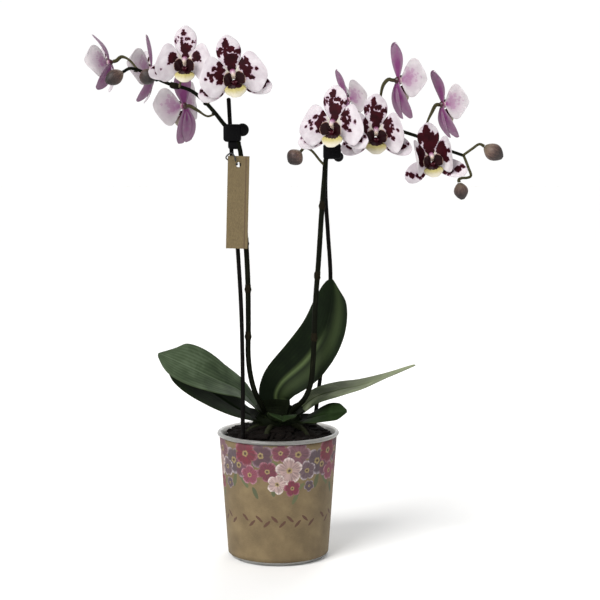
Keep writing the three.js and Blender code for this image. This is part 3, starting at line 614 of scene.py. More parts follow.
# %% [markdown]
# ## The printed sleeve
#
# The sleeve is brown kraft paper, wrapped round the pot and glued down one side. Kraft is unbleached, so it
# shows short fibres and a slight mottle. A border of simple five-petalled blossoms and leaves hangs from its
# top edge, in muted crimson, pink and a greyed purple, and a thin dark row of leaves runs round it lower
# down. Both are drawn by the shader in the paper's own millimetres, so the print needs no picture.

# %% Printed kraft paper
# Across and up in mm from the repeat's middle and the floor, radius, turn, petal colour, edge colour
BLOSSOMS = [
    (-39, 96, 12, 1.2, "#5f3b48", "#93838a"), (38, 100, 13, 2.2, "#4f4147", "#a59aa0"),
    (-16, 107, 12, 0.2, "#4d343d", "#87727a"), (18, 108, 12.5, 1.5, "#68464f", "#a08a8f"),
    (-31, 108, 12.5, 1.9, "#66202f", "#96606c"), (2, 110, 9, 1.0, "#66323f", "#9a7780"),
    (27, 92, 9.5, 0.4, "#5c4a50", "#b9aeb1"), (-27, 88, 9.5, 0.9, "#78394a", "#a87c87"),
    (-10, 92, 10, 2.6, "#642b39", "#96636f"), (10, 93, 12.5, 0.6, "#9c8480", "#d2c6c0"),
    (-1, 80, 9.5, 1.7, "#a8918c", "#d8cdc6"), (13, 76, 8, 0.3, "#6a2436", "#9c6070"),
    (30, 77, 5.5, 2.4, "#4f4147", "#9c8f95"),
]
# Across and up in mm, half length and half width, turn, colour
LEAFLETS = [
    (-24, 98, 9, 3.2, 0.7, "#4c5035"), (0, 96, 8, 3.0, 2.4, "#565a3a"), (33, 99, 8.5, 3.0, 2.0, "#454a31"),
    (-34, 82, 8, 2.6, 2.2, "#515538"), (-4, 75, 7, 2.3, 1.5, "#4c5035"), (19, 76, 7, 2.4, 0.6, "#565a3a"),
    (38, 81, 7, 2.4, 1.3, "#4c5035"), (-22, 71, 6, 2.0, 2.0, "#454a31"), (16, 66, 6, 1.9, 1.1, "#515538"),
]
GARLAND = [(-34 + 7.6 * i, 44 + 2.4 * (-1) ** i, 4.4, 1.35, 0.75 if i % 2 else 2.4) for i in range(10)]
REPEATS = 4
SLEEVE_MIDDLE_RADIUS = 53.0


def printed_kraft(tree):
    """Kraft paper with a blossom border. Fibres about 0.5 by 3 mm show; the real ones are finer."""
    spot = apart(tree, pattern(tree))
    backwards = maths(tree, "MULTIPLY", spot["Y"], -1.0)
    round_it = maths(tree, "ARCTAN2", spot["X"], backwards)
    arc = maths(tree, "MULTIPLY", round_it, SLEEVE_MIDDLE_RADIUS)
    repeat = 2 * math.pi * SLEEVE_MIDDLE_RADIUS / REPEATS
    folded = maths(tree, "WRAP", arc, repeat / 2, -repeat / 2)
    flat = joined(tree, folded, spot["Z"])
    paper_at = joined(tree, arc, spot["Z"])
    drawn = stir(tree, flat, noise(tree, flat, 0.3, 2, out="Color"), 1.6)
    stretched = vectors(tree, "MULTIPLY", paper_at, (0.35, 2.2, 1))
    fibres = noise(tree, stretched, 1.0, 4, Roughness=0.7)
    mottle = noise(tree, paper_at, 0.05, 3)
    mixed = maths(tree, "MULTIPLY_ADD", fibres, 0.55, mottle)
    colour = ramp(tree, mixed, (0.45, "#54462e"), (0.75, "#66563a"), (1.0, "#766546"))
    for x, z, half_length, half_high, turn, ink in [(*one, "#4b3022") for one in GARLAND] + LEAFLETS:
        mask = mapped(tree, oval(tree, drawn, (x, z), half_length, half_high, turn), 1.06, 0.94)
        colour = blend(tree, mask, colour, ink)
    for x, z, radius, turn, petal, edge in BLOSSOMS:
        away = vectors(tree, "SUBTRACT", drawn, (x, z, 0))
        length = vectors(tree, "LENGTH", away)
        offset = apart(tree, away)
        angle = maths(tree, "ARCTAN2", offset["Y"], offset["X"])
        petals = maths(tree, "MULTIPLY_ADD", angle, 2.5, turn)
        wave = maths(tree, "ABSOLUTE", maths(tree, "SINE", petals))
        rounded = maths(tree, "POWER", wave, 0.4)
        outline = maths(tree, "MULTIPLY_ADD", rounded, 0.45 * radius, 0.55 * radius)
        share = maths(tree, "DIVIDE", length, outline)
        mask = mapped(tree, share, 1.03, 0.97)
        heart = maths(tree, "DIVIDE", length, radius)
        outwards = maths(tree, "MULTIPLY", heart, share)
        tint = ramp(tree, outwards, (0.0, "#2c1018"), (0.03, "#9c8a5a"), (0.08, petal), (0.6, petal),
                    (1.0, edge))
        rays = joined(tree, maths(tree, "MULTIPLY", angle, 5.0), heart, x)
        veined = noise(tree, rays, 1.3, 3)
        shaded = mapped(tree, veined, 0.6, 0.35, 0.55)
        tint = blend(tree, shaded, tint, "#3a2a2a")
        colour = blend(tree, mask, colour, tint)
    bump = dents(tree, fibres, 0.25, 0.0003)
    return principled(tree, colour, 0.72, bump, IOR=1.5)


def sleeve_point(z, out):
    """A point of the sleeve's outline, out mm from its inner face."""
    return (pot_radius(z) + CLEARANCE + out, z)


SLEEVE_RINGS, SLEEVE_SIDES = 28, 240
heights = np.linspace(SLEEVE_LOW, SLEEVE_HIGH, SLEEVE_RINGS)
sleeve_profile = [sleeve_point(z, SLEEVE_THICKNESS) for z in heights]
sleeve_profile += [sleeve_point(z, 0.1) for z in heights[::-1]]
sleeve_form = turned(sleeve_profile, SLEEVE_SIDES)
points = sleeve_form["points"]
around = np.arctan2(points[:, 1], points[:, 0])
slack = 0.16 * np.sin(3 * around + 0.04 * points[:, 2]) * np.sin(7 * around + 1)
LAP_AT, LAP_HALF, LAP_EDGE = 1.9, 0.07, 0.005  # radians round the pot, with the lap at the back
from_lap = np.abs(np.angle(np.exp(1j * (around - LAP_AT))))
lap = 0.45 * smooth(from_lap, LAP_HALF + LAP_EDGE, LAP_HALF - LAP_EDGE)
outside = np.hypot(points[:, 0], points[:, 1]) > pot_radius(points[:, 2]) + CLEARANCE + 0.4
# The paper lies in by 0.05 mm at most where it is slack, and out by 0.03 mm where it is glued over itself
inwards = (np.abs(slack) - 0.25 * lap * outside)[:, None]
pulled_in = 1 - 0.3 * inwards / POT_TOP_RADIUS
sleeve_form["points"] = np.hstack([points[:, :2] * pulled_in, points[:, 2:]])
piece("kraft_sleeve", [sleeve_form], [material("printed_kraft_paper", printed_kraft)], "printed_kraft",
      "pot_sleeve")
print("sleeve repeat", round(2 * math.pi * SLEEVE_MIDDLE_RADIUS / REPEATS, 1), "mm")

# %% [markdown]
# ## The bark
#
# Orchids grow in chips of pine bark, dark when they are damp, each one a flake with blunt corners and a
# layered edge. Here the chips are near black: damp brown with the shade in the pot's mouth painted in. A
# turned body fills the pot, and a few hundred separate chips lie on it. Each chip starts as a ball that is
# squeezed towards a box, and is then dented by chance, with the draw seeded.

# %% Damp pine bark
def bark_dark_with_painted_shade(tree):
    """Near-black bark, damp dark brown with painted shade: layers about 0.6 mm thick, and a rough broken
    face.
    """
    place = pattern(tree)
    layers = vectors(tree, "MULTIPLY", place, (0.3, 0.3, 1.6))
    grain = noise(tree, layers, 1.0, 6, Roughness=0.65)
    patches = noise(tree, place, 0.12, 2)
    mixed = maths(tree, "MULTIPLY_ADD", patches, 0.8, grain)
    # Painted shade: near black, darker than damp brown bark, for the shade in the pot's mouth
    colour = ramp(tree, mixed, (0.6, "#070504"), (0.9, "#100b08"))
    bump = dents(tree, grain, 0.8, 0.0012)
    return principled(tree, colour, 0.9, bump, 0.12)


def bark_chip(draw, size, place, lie):
    """A flake with blunt corners, dented by chance."""
    across, down = 10, 7
    polar, turn = np.meshgrid(np.linspace(0.12, np.pi - 0.12, down),
                              np.linspace(0, 2 * np.pi, across, False), indexing="ij")
    ball = zipped(np.sin(polar) * np.cos(turn), np.sin(polar) * np.sin(turn), np.cos(polar))
    boxy = (np.sign(ball) * np.abs(ball) ** 0.5).reshape(-1, 3)
    boxy *= 1 + draw.uniform(-0.13, 0.13, boxy.shape)
    shaped = boxy * np.array(size) / 2
    points = np.array([lie @ Vector(point) for point in shaped]) + place
    rows = np.arange(across * down).reshape(down, across)
    beside = np.roll(rows, -1, axis=1)
    faces = zipped(rows[:-1], rows[1:], beside[1:], beside[:-1]).reshape(-1, 4).tolist()
    faces += [rows[0].tolist(), rows[-1][::-1].tolist()]
    return part(points, faces, drawn=shaped + 40 * draw.random(3))


def heap(away):
    """The height of the bark, which is heaped a little towards the crown."""
    return BARK_TOP + BARK_RISE * (1 - (away / POT_TOP_RADIUS) ** 2)


CHIPS, CHIPS_REACH = 300, 47.5
CHIP_SINK = 1.5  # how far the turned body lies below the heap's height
GOLDEN_ANGLE = 2.39996  # turning by it from chip to chip spreads them evenly
draw = np.random.default_rng(SEED)
reach = POT_TOP_RADIUS - POT_WALL - 1.2
bark_profile = [
    (0.01, 1.9), (POT_FOOT_RADIUS - 5, 1.9), (pot_radius(5) - 2.4, 5), (reach - 1.2, BARK_TOP - 8),
    (reach, BARK_TOP - 2), (40, heap(40) - CHIP_SINK), (20, heap(20) - CHIP_SINK),
    (0.01, heap(0) - CHIP_SINK)]
bark_parts = [turned(bark_profile, 64)]
for i in range(CHIPS):
    away = CHIPS_REACH * math.sqrt((i + 0.5) / CHIPS)
    angle = GOLDEN_ANGLE * i
    size = (draw.uniform(8, 15), draw.uniform(5, 9), draw.uniform(2.2, 4.5))
    lie = Matrix.Rotation(draw.uniform(0, 6.28), 3, "Z") @ Matrix.Rotation(draw.normal(0, 0.35), 3, "X")
    spot = (away * math.cos(angle), away * math.sin(angle), heap(away) + draw.uniform(-1.5, 2.6))
    bark_parts.append(bark_chip(draw, size, spot, lie))
piece("bark_chips", bark_parts, [material("pine_bark_painted_shade", bark_dark_with_painted_shade)], "bark", "bark")
print("bark chips", CHIPS)

# %% [markdown]
# ## The crown and its roots
#
# The short stem of this orchid is hidden by leaf bases that clasp it from left and right in turn, which
# makes it flat. Its roots are nearly as thick as a pencil, covered in a spongy skin that is silver when dry
# and green when wet. Flattened cups, each inside the last and slanted the other way, give the clasping
# bases, and lumpy tubes give the roots.

# %% Leaf-base and root skin
BASES = 6
ROOTS = [
    [(-12, -4, 125), (-20, -9, 127), (-28, -15, 123), (-32, -18, 112)],
    [(-5, -8, 125), (-8, -20, 127.5), (-11, -32, 123), (-12, -38, 111)],
    [(11, -6, 125), (19, -17, 128), (27, -29, 122), (29, -34, 110)],
    [(14, 4, 126), (25, 8, 128.5), (36, 12, 122), (40, 14, 110)],
    [(-10, 6, 126), (-18, 18, 128.5), (-24, 31, 121), (-25, 36, 109)],
]


def streaked_skin(tree, low, middle, high, gloss=0.5, fine=0.9):
    """Plant skin with streaks about a millimetre wide that follow the stem or root."""
    place = pattern(tree)
    drawn_out = vectors(tree, "MULTIPLY", place, (fine, fine, 0.08))
    streaks = noise(tree, drawn_out, 1.0, 4, Roughness=0.6)
    clouds = noise(tree, place, 0.06, 2)
    mixed = maths(tree, "MULTIPLY_ADD", clouds, 0.9, streaks)
    share = maths(tree, "MULTIPLY", mixed, 0.7)
    colour = ramp(tree, share, (0.45, low), (0.63, middle), (0.72, middle), (0.85, high))
    bump = dents(tree, streaks, 0.3, 0.0004)
    return principled(tree, colour, gloss, bump, 0.04)


CROWN_FINISHES = [
    # The leaf bases are near black: their dark green with the shade in the middle of the plant painted in
    material("clasping_leaf_base_painted_shade", streaked_skin, "#060804", "#0e1308", "#1d2410", 0.7),
    material("silvery_root", streaked_skin, "#14160e", "#26291b", "#4a4c3c", 0.8)]


def clasping_base(level):
    """One leaf base: a flattened cup inside the last, higher on the side where its leaf leaves."""
    top = CROWN["high"] - 2.2 * (BASES - 1 - level)
    tall = CROWN["high"] - CROWN["low"]

    def radius(s, angle):
        up = s * (top - CROWN["low"]) / tall
        swell = np.where(up < 0.7, CROWN["foot"] + (CROWN["belly"] - CROWN["foot"]) * smooth(up, 0, 0.7),
                         CROWN["belly"] + (CROWN["neck"] - CROWN["belly"]) * smooth(up, 0.7, 1))
        return swell * (1 - 0.045 * level) * (0.985 - 0.015 * np.abs(np.sin(angle * 9 + level)))

    upright = Path([(0, 0, CROWN["low"]), (0, 0, 120), (0, 0, top)])
    form = tube(upright, radius, 96, 70, offset=SLICES["cup"] * level)
    x, z = form["points"][:, 0], form["points"][:, 2]
    form["points"][:, 2] = z - (1 + (-1) ** level * x / CROWN["belly"]) * 1.5 * smooth(z, 112, top)
    form["points"][:, 1] *= CROWN["flat"]
    return form


def clasping_channel(form):
    """The leaf base below each leaf: a thick channel that widens from inside the crown to the leaf's foot."""
    foot, second = (np.array(point, float) for point in form["line"][:2])
    out = (second - foot) / np.linalg.norm(second - foot)
    inside = foot * (0.3, 0.3, 1) - (0, 0, 15)
    line, face = Path([inside, foot - 5 * out, foot + 4 * out]), np.array(form["faces"][0])

    def surface(u, t):
        heading = line.heading(t)
        sideways = np.cross(heading, face)
        sideways /= np.linalg.norm(sideways, axis=1, keepdims=True)
        reach = form["half"][0] * (0.75 + 0.27 * smooth(t, 0, 0.8))
        rise = form["fold"] * reach * np.abs(u) ** 1.4 + 4.0 * (1 - t) * u * u
        return line.at(t) + sideways * (reach * u)[:, None] + np.cross(sideways, heading) * rise[:, None]

    def drawn(u, t):
        return zipped(12 * u, 14 * t, foot[0] + t)

    return sheet(surface, 20, 24, LEAF_THICKNESS * 1.3, drawn, thin=0.3)


def root_radius(lumps):
    """How thick a root is: thinner towards its end, and a little lumpy."""
    return lambda s, angle: ROOT_RADIUS * (1 - 0.15 * s) * (
        0.97 + 0.06 * np.sin(23 * s + lumps) * np.sin(angle + 5 * s) + 0.03 * np.sin(61 * s + lumps))


crown_parts = [clasping_base(level) for level in range(BASES)]
crown_parts += [clasping_channel(form) for form in LEAVES.values()]
crown_parts += [tube(Path(path), root_radius(i), 20, 60, finish=1, offset=SLICES["root"] * i)
                for i, path in enumerate(ROOTS)]
piece("crown_and_roots", crown_parts, CROWN_FINISHES, "crown", "crown")
print("leaf bases", BASES, "roots", len(ROOTS))

# %% [markdown]
# ## The leaves
#
# A moth orchid's leaf is thick and leathery, dark green above and paler below, folded along a sunken midrib,
# with fine veins that run its whole length and a tip whose two sides are unlike. A sheet that follows the
# leaf's midline, turned to where its face looks, gives the form. The midrib is a narrow valley in it.

# %% Leathery leaf skin
LEAF_VEINS = 42.0  # radians of wave from the midrib to the rim


def leathery_leaf(tree, deep, usual, pale, gloss, rib_share=0.55, bands=(), band="#4a5836",
                  tip_from=0.72, tip_share=0.2):
    """Waxy leaf skin. Veins 2 to 4 mm apart, a paler midrib, cloudy patches, and lighter stripes of painted
    sheen lengthwise, each given by where it runs across the leaf, its half width, where it fades along it,
    and its share."""
    across, along, side = sheet_place(tree)
    place = pattern(tree)
    clouds = noise(tree, place, 0.045, 4, Distortion=0.6)
    vein_wave = maths(tree, "MULTIPLY_ADD", across, LEAF_VEINS, maths(tree, "MULTIPLY", clouds, 3.0))
    veins = waves(tree, vein_wave)
    shade = maths(tree, "MULTIPLY_ADD", veins, 0.12, clouds)
    upper = ramp(tree, shade, (0.3, deep), (0.54, usual), (0.95, pale))
    off_rib = maths(tree, "ABSOLUTE", across)
    rib = mapped(tree, off_rib, 0.06, 0.015, rib_share)
    upper = blend(tree, rib, upper, pale)
    # Painted sheen: lighter stripes in the colour band, where light glances along the leaf
    for middle, half_band, fades, share in bands:
        off = maths(tree, "ABSOLUTE", maths(tree, "SUBTRACT", across, middle))
        beside = mapped(tree, off, half_band, 0.0, share, interpolation_type="SMOOTHSTEP")
        lengthwise = mapped(tree, along, fades, fades - 0.35, interpolation_type="SMOOTHSTEP")
        lit = maths(tree, "MULTIPLY", beside, lengthwise)
        upper = blend(tree, lit, upper, band)
    rim = mapped(tree, off_rib, 0.955, 1.0, 0.3)
    upper = blend(tree, rim, upper, "#3a4226")
    # Paler towards the tip; on right_low this is painted light, its tip lit and its foot in shade
    tip = mapped(tree, along, tip_from, 1.0, tip_share)
    upper = blend(tree, tip, upper, pale)
    lower = blend(tree, 0.6, upper, "#2c3520")
    colour = blend(tree, side, lower, upper)
    pores = noise(tree, place, 1.1, 3)
    height = maths(tree, "MULTIPLY_ADD", veins, 0.35, pores)
    bump = dents(tree, height, 0.16, 0.0005)
    return principled(tree, colour, gloss, bump, 0.07)


LEAF_SKINS = {
    # left_upper: grey green, partly the leaf's green and partly painted sheen from light glancing off its
    # waxy face
    "grey_green": material("leaf_grey_green_painted_sheen", leathery_leaf, "#2b3626", "#3d4a35", "#5f6d56", 0.6),
    # The lower leaves: near black, their dark green with painted shade from the leaves above
    "dark": material("leaf_dark_green_painted_shade", leathery_leaf, "#0b1406", "#14200b", "#24341a", 0.68,
                     rib_share=0.25),
    # right_tall: two lighter stripes of painted sheen, one along its midrib
    "banded": material("leaf_dark_green_painted_sheen_stripes", leathery_leaf, "#081006", "#0b1407", "#16220e", 0.6,
                       rib_share=0.1, bands=[(0.02, 0.2, 0.72, 0.9), (0.5, 0.45, 1.3, 0.32)]),
    # right_low: painted light, dark at its shaded foot and pale olive towards its lit tip
    "olive": material("leaf_green_painted_lit_tip", leathery_leaf, "#131c0a", "#2b3719", "#8a9272", 0.6,
                      rib_share=0.2, tip_from=0.1, tip_share=0.9),
}


def unit(arrows):
    """Each arrow, made 1 long."""
    return arrows / np.linalg.norm(arrows, axis=-1, keepdims=True)


def leaf(name, form):
    """A leaf along its line, with a folded blade, a sunken midrib, a wavy rim and an uneven tip."""
    midline = Path(form["line"])
    foot_face, tip_face = (np.array(face) for face in form["faces"])

    def surface(u, t):
        heading = midline.heading(t)
        face = unit(foot_face + (tip_face - foot_face) * np.clip(t, 0, 1)[:, None])
        sideways = unit(np.cross(heading, face))
        out = np.cross(sideways, heading)
        reach = half_width(np.clip(t, 0, 1), form)
        rib = 0.7 * np.exp(-((u * reach) / 1.3) ** 2)
        rise = form["fold"] * reach * np.abs(u) ** 1.4 + 0.8 * np.sin(9 * t + 2 * u) * u * u * t - rib
        rounding = -3.0 * np.abs(u) ** 3 * smooth(t, 0.8, 1)
        back = -form["notch"] * np.maximum(0, u) * smooth(t, 0.75, 1) + rounding
        return midline.at(t) + sideways * (reach * u)[:, None] + out * rise[:, None] + heading * back[:, None]

    def drawn(u, t):
        own_slice = np.full_like(t, SLICES["leaf"] * len(name))
        return zipped(half_width(t, form) * u, midline.length * t, own_slice)

    blade = sheet(surface, 36, 84, LEAF_SKIN, drawn, thin=0.72)
    piece("leathery_leaf_" + name, [blade], [LEAF_SKINS[form["skin"]]], "leaf", "leaf_" + name)


for name, form in LEAVES.items():
    leaf(name, form)
print("leaves", list(LEAVES))

# %% [markdown]
# ## Stakes, stems and clips
#
# Thin coated rods hold the sprays up. The flower stems are dark green flushed with brown, 5 mm thick at the
# foot and 3 mm at the tip, with a few joints that each carry a dry scale. Small black clips of moulded nylon
# hold stem and rod together.

# %% Coated rods
def coated_rod(tree):
    """Steel rod in a dark brown plastic coat: satin, with a faint orange-peel a millimetre wide."""
    place = pattern(tree)
    peel = noise(tree, place, 0.8, 2)
    wear = noise(tree, place, 0.05, 3)
    colour = ramp(tree, wear, (0.35, "#050404"), (0.7, "#0c0a08"))
    bump = dents(tree, peel, 0.2, 0.0003)
    return principled(tree, colour, 0.55, bump, 0.05)


def rod_radius(length):
    """The radius of a rod with rounded ends."""
    def radius(s, angle):
        from_end = np.minimum(s, 1 - s) * length
        return STAKE_RADIUS * np.sqrt(np.clip(1 - (1 - np.clip(from_end / 1.6, 0, 1)) ** 2, 0.02, 1))
    return radius


rod_coat = material("brown_plastic_coat", coated_rod)
for side, path in (("left", LEFT_STAKE), ("right", RIGHT_STAKE)):
    line = Path(path)
    piece("support_rod_" + side, [tube(line, rod_radius(line.length), 18, 260, close_ends=True)], [rod_coat],
          "stake", "stake_" + side)
    print("rod", side, round(line.length), "mm long")


# %% Flower stems
def stem_radius(s, angle):
    taper = STEM_RADIUS + (STEM_TIP_RADIUS - STEM_RADIUS) * smooth(s, 0.45, 1)
    return taper * (0.985 + 0.015 * np.sin(5 * angle + 9 * s))


def facing(bloom):
    """The direction that a bloom looks in."""
    turn, nod = math.radians(bloom["turn"]), math.radians(bloom["nod"])
    return np.array([math.sin(turn) * math.cos(nod), -math.cos(turn) * math.cos(nod), math.sin(nod)])


def flower_stalk(bloom, offset):
    """From the stem to just behind the bloom, thicker and ribbed at its end, where the seed chamber is."""
    end = np.array(bloom["at"]) - facing(bloom) * (BLOOM_BACK * bloom["size"] + CLEARANCE)
    path = Path([*bloom["pedicel"], end - 3 * facing(bloom), end])
    return tube(path, lambda s, angle: (0.9 * PEDICEL_RADIUS + 0.35 * (1 - smooth(s, 0, 0.12))
                                        + (OVARY_RADIUS - PEDICEL_RADIUS) * smooth(s, 0.4, 0.85))
                * (1 + 0.06 * np.sin(3 * angle) * smooth(s, 0.4, 0.9)), 12, 40, finish=1, offset=offset)


def scale_leaf(stem, s):
    """The dry pointed scale that clasps a joint of the stem."""
    foot, heading = stem.at(s), stem.heading(s)
    short = Path([foot - 3.2 * heading, foot, foot + 4.5 * heading])
    return tube(short, lambda along, angle: STEM_RADIUS * 0.96 + 0.15 + 0.75 * smooth(along, 0, 0.4)
                * (1 - 0.8 * smooth(along, 0.45 + 0.25 * np.cos(angle), 0.75 + 0.25 * np.cos(angle))),
                20, 18, finish=2)


def bract(path, s):
    """The small pointed bract under each flower stalk."""
    start, heading = path.at(s), path.heading(s)
    side = unit(np.cross(heading, [0.0, 1.0, 0.3]))
    line = Path([start, start + 1.6 * side + 1.0 * heading, start + 2.6 * side + 3.4 * heading])
    return tube(line, lambda along, angle: 1.5 * (1 - along) ** 0.7 + 0.1, 10, 10, finish=2)


STEM_FINISHES = [
    material("dark_stem_skin", streaked_skin, "#050603", "#0b0d06", "#191b0f", 0.6),
    material("green_stalk_skin", streaked_skin, "#242417", "#403d28", "#6a634c", 0.55),
    material("dry_scale", streaked_skin, "#0b0a06", "#19150c", "#2f2818", 0.7, fine=1.6)]


def nearest(path, point):
    """How far along a path, from 0 to 1, the place nearest to a point is."""
    return path.walked[np.argmin(np.linalg.norm(path.points - np.array(point), axis=1))]


def flower_stem(side, points, joints, more):
    """A stem with scales at its joints, the stalks and bracts of its blooms, and the stalks of its buds."""
    path = Path(points)
    blooms = [bloom for name, bloom in BLOOMS.items() if name.startswith(side)]
    parts = [tube(path, stem_radius, 18, 320)]
    parts += [scale_leaf(path, s) for s in joints]
    parts += [flower_stalk(bloom, SLICES["stalk"] * i) for i, bloom in enumerate(blooms)]
    parts += [bract(path, nearest(path, bloom["pedicel"][0])) for bloom in blooms]
    parts += more
    piece("flower_stem_" + side, parts, STEM_FINISHES, "spike", "spike_" + side)
    print("stem", side, "carries", len(blooms), "blooms")


def bud_stalk(points, radius):
    return tube(Path(points), lambda s, angle: radius * (1 + 0.25 * smooth(s, 0.8, 1)), 12, 36, finish=1)


flower_stem("left", LEFT_STEM, [0.2, 0.31, 0.42, 0.86], [bud_stalk(NEAR_STALK, PEDICEL_RADIUS + 0.2)])
flower_stem("right", RIGHT_STEM, [0.2, 0.34, 0.5], [
    bud_stalk(LOW_STALK, PEDICEL_RADIUS), bud_stalk(FORK_UP, PEDICEL_RADIUS + 0.1),
    bud_stalk(FORK_DOWN, PEDICEL_RADIUS + 0.15)])


# %% Moulded clips
def moulded_nylon(tree):
    """Black nylon: a satin skin with the mould's fine spark texture, drawn at half a millimetre."""
    place = pattern(tree)
    spark = noise(tree, place, 2.0, 3)
    colour = ramp(tree, spark, (0.3, "#020203"), (0.75, "#070708"))
    bump = dents(tree, spark, 0.25, 0.0002)
    return principled(tree, colour, 0.5, bump, 0.07)


def block(centre, size, bevel):
    """A box with rounded edges."""
    shape = bmesh.new()
    bmesh.ops.create_cube(shape, size=1.0, matrix=Matrix.Diagonal((*size, 1)))
    bmesh.ops.bevel(shape, geom=shape.edges[:], offset=bevel, segments=4, profile=0.5, affect="EDGES")
    shape.transform(Matrix.Translation(centre))
    made = part([tuple(corner.co) for corner in shape.verts],
                [[corner.index for corner in face.verts] for face in shape.faces])
    shape.free()
    return made


# Ribs on a jaw, their pitches in its height, their width as a share of its width, depth and height in mm
RIBS, RIB_PITCHES, RIB_WIDE, RIB_DEEP, RIB_HIGH = 4, 5.2, 0.62, 0.9, 1.3


def clip(side, centre, size, hinge, hinge_radius, bevel, collar=None):
    """Two ribbed jaws round stem and rod, the round boss of their hinge, and a collar where one is given."""
    x, y, z = centre
    wide, deep, high = size
    parts = []
    for face in (-1, 1):
        jaw_y = y + face * (deep / 4 + 0.2)
        parts.append(block((x, jaw_y, z), (wide - 0.4, deep / 2 - 0.8, high - 0.6), bevel))
        for i in range(RIBS):
            rib_at = (x, y + face * (deep / 2 - 0.55), z + (i - (RIBS - 1) / 2) * high / RIB_PITCHES)
            parts.append(block(rib_at, (wide * RIB_WIDE, RIB_DEEP, RIB_HIGH), 0.35))
    half_barrel = hinge_radius * 0.72
    barrel = Path([(hinge[0], hinge[1] + reach, hinge[2]) for reach in (-half_barrel, 0, half_barrel)])
    parts.append(tube(barrel, lambda s, angle: 0.95 * hinge_radius * np.clip(np.sin(np.pi * s), 0, 1) ** 0.35
                      * (1 - 0.03 * (np.sin(14 * np.pi * s) > 0)), 40, 40, close_ends=True))
    if collar:
        parts.append(block(*collar, 2.2))
    piece("nylon_clip_" + side, parts, [nylon], "clip", "clip_" + side)


nylon = material("black_moulded_nylon", moulded_nylon)
clip("left", centre=(-42.5, -12, 405), size=(17, 15, 17), hinge=(-33, -13, 408), hinge_radius=6.4,
     bevel=2.9, collar=((-40.5, -11.5, 394), (12, 10, 8)))
clip("right", centre=(51, -9, 388), size=(17, 15, 15), hinge=(57, -10, 383), hinge_radius=5, bevel=2.4)
print("clips 2")

# %% [markdown]
# ## The card tag
#
# A card tag of the same brown kraft hangs from the left rod on a loop of black wire. Card is die cut, so its
# corners are sharp but its edge is soft, and it curls a little across its width. Its face carries nothing
# but a plain dark band along one edge.

# %% Kraft card and its loop
BAND_LEFT, BAND_RIGHT, BAND_BLUR = 6.4, 7.5, 0.1


def kraft_card(tree):
    """Uncoated kraft card, with short fibres and a plain darker band along its right edge."""
    place = pattern(tree)
    rightwards = apart(tree, place)["X"]
    stretched = vectors(tree, "MULTIPLY", place, (1.6, 1.6, 0.5))
    fibres = noise(tree, stretched, 1.0, 4, Roughness=0.7)
    paper = ramp(tree, fibres, (0.3, "#57492f"), (0.7, "#6f6040"))
    from_left = mapped(tree, rightwards, BAND_LEFT - BAND_BLUR, BAND_LEFT + BAND_BLUR)
    from_right = mapped(tree, rightwards, BAND_RIGHT + BAND_BLUR, BAND_RIGHT - BAND_BLUR)
    band = maths(tree, "MULTIPLY", from_left, from_right)
    faint = maths(tree, "MULTIPLY", band, 0.75)
    colour = blend(tree, faint, paper, "#4e3a2a")
    bump = dents(tree, fibres, 0.2, 0.0002)
    return principled(tree, colour, 0.8, bump)


def black_coat(tree):
    """Soft black plastic over thin wire."""
    grain = noise(tree, pattern(tree), 1.5, 2)
    colour = ramp(tree, grain, (0.3, "#0f0f10"), (0.7, "#1f1f21"))
    return principled(tree, colour, 0.5)


def card_outline():
    """The card's edge every few millimetres, so that it can curl, and the ring of its hole."""
    half_w, half_h = TAG["width"] / 2, TAG["height"] / 2
    down = np.linspace(-half_h, half_h, 24)
    over = np.linspace(-half_w, half_w, 9)
    edge = [(x, -half_h) for x in over[:-1]] + [(half_w, z) for z in down[:-1]]
    edge += [(x, half_h) for x in over[:0:-1]] + [(-half_w, z) for z in down[:0:-1]]
    ring = [(TAG["hole"] * math.cos(a), half_h - TAG["hole_down"] + TAG["hole"] * math.sin(a))
            for a in np.linspace(0, 2 * np.pi, 32, endpoint=False)]
    return edge, ring


card_curve = bpy.data.curves.new("card", "CURVE")
card_curve.dimensions = "2D"
card_curve.fill_mode = "BOTH"
card_curve.extrude = TAG["thickness"] / 2 - 0.1
card_curve.bevel_depth = 0.08
for outline in card_outline():
    spline = card_curve.splines.new("POLY")
    spline.points.add(len(outline) - 1)
    for corner, (x, z) in zip(spline.points, outline):
        corner.co = (x, z, 0, 1)
    spline.use_cyclic_u = True
card_maker = add("card_maker", card_curve)
bpy.context.view_layer.update()
ready = bpy.context.evaluated_depsgraph_get()
card_mesh = bpy.data.meshes.new_from_object(card_maker.evaluated_get(ready))
bpy.data.objects.remove(card_maker)
flat = np.array([corner.co for corner in card_mesh.vertices])
CARD_LEAN = math.radians(1.5)
x, z, thick = flat[:, 0], flat[:, 1], flat[:, 2]
curl = 0.9 * (x / 10) ** 2 * smooth(np.abs(z), 8, 43) - 0.3
card_points = zipped(
    TAG_PLACE[0] + x * math.cos(CARD_LEAN) + z * math.sin(CARD_LEAN),
    TAG_PLACE[1] - TAG["thickness"] / 2 + thick - curl * 0.5,
    TAG_PLACE[2] + z * math.cos(CARD_LEAN) - x * math.sin(CARD_LEAN))
card_faces = [list(face.vertices) for face in card_mesh.polygons]
card = part(card_points, card_faces, drawn=zipped(x, thick, z))
tag = piece("kraft_tag", [card], [material("kraft_card", kraft_card)], "tag", "tag")
tag.data.polygons.foreach_set("use_smooth", np.zeros(len(tag.data.polygons), bool))
hole = np.array(TAG_PLACE) + (-1, 0, TAG["height"] / 2 - TAG["hole_down"])
LOOP = [(0, -3.4, 1), (0, -1.8, 0), (0, 1.2, -0.2), (0.6, 7, 0.5), (0.2, 13, 1.5), (-4.2, 16.45, 3),
        (-9, 15, 5), (-10, 8, 7), (-7.5, 2, 9.6), (-4, -2.6, 10.5), (-1.5, -3.6, 7), (-0.6, -4, 3)]
WIRE_RADIUS = 0.7
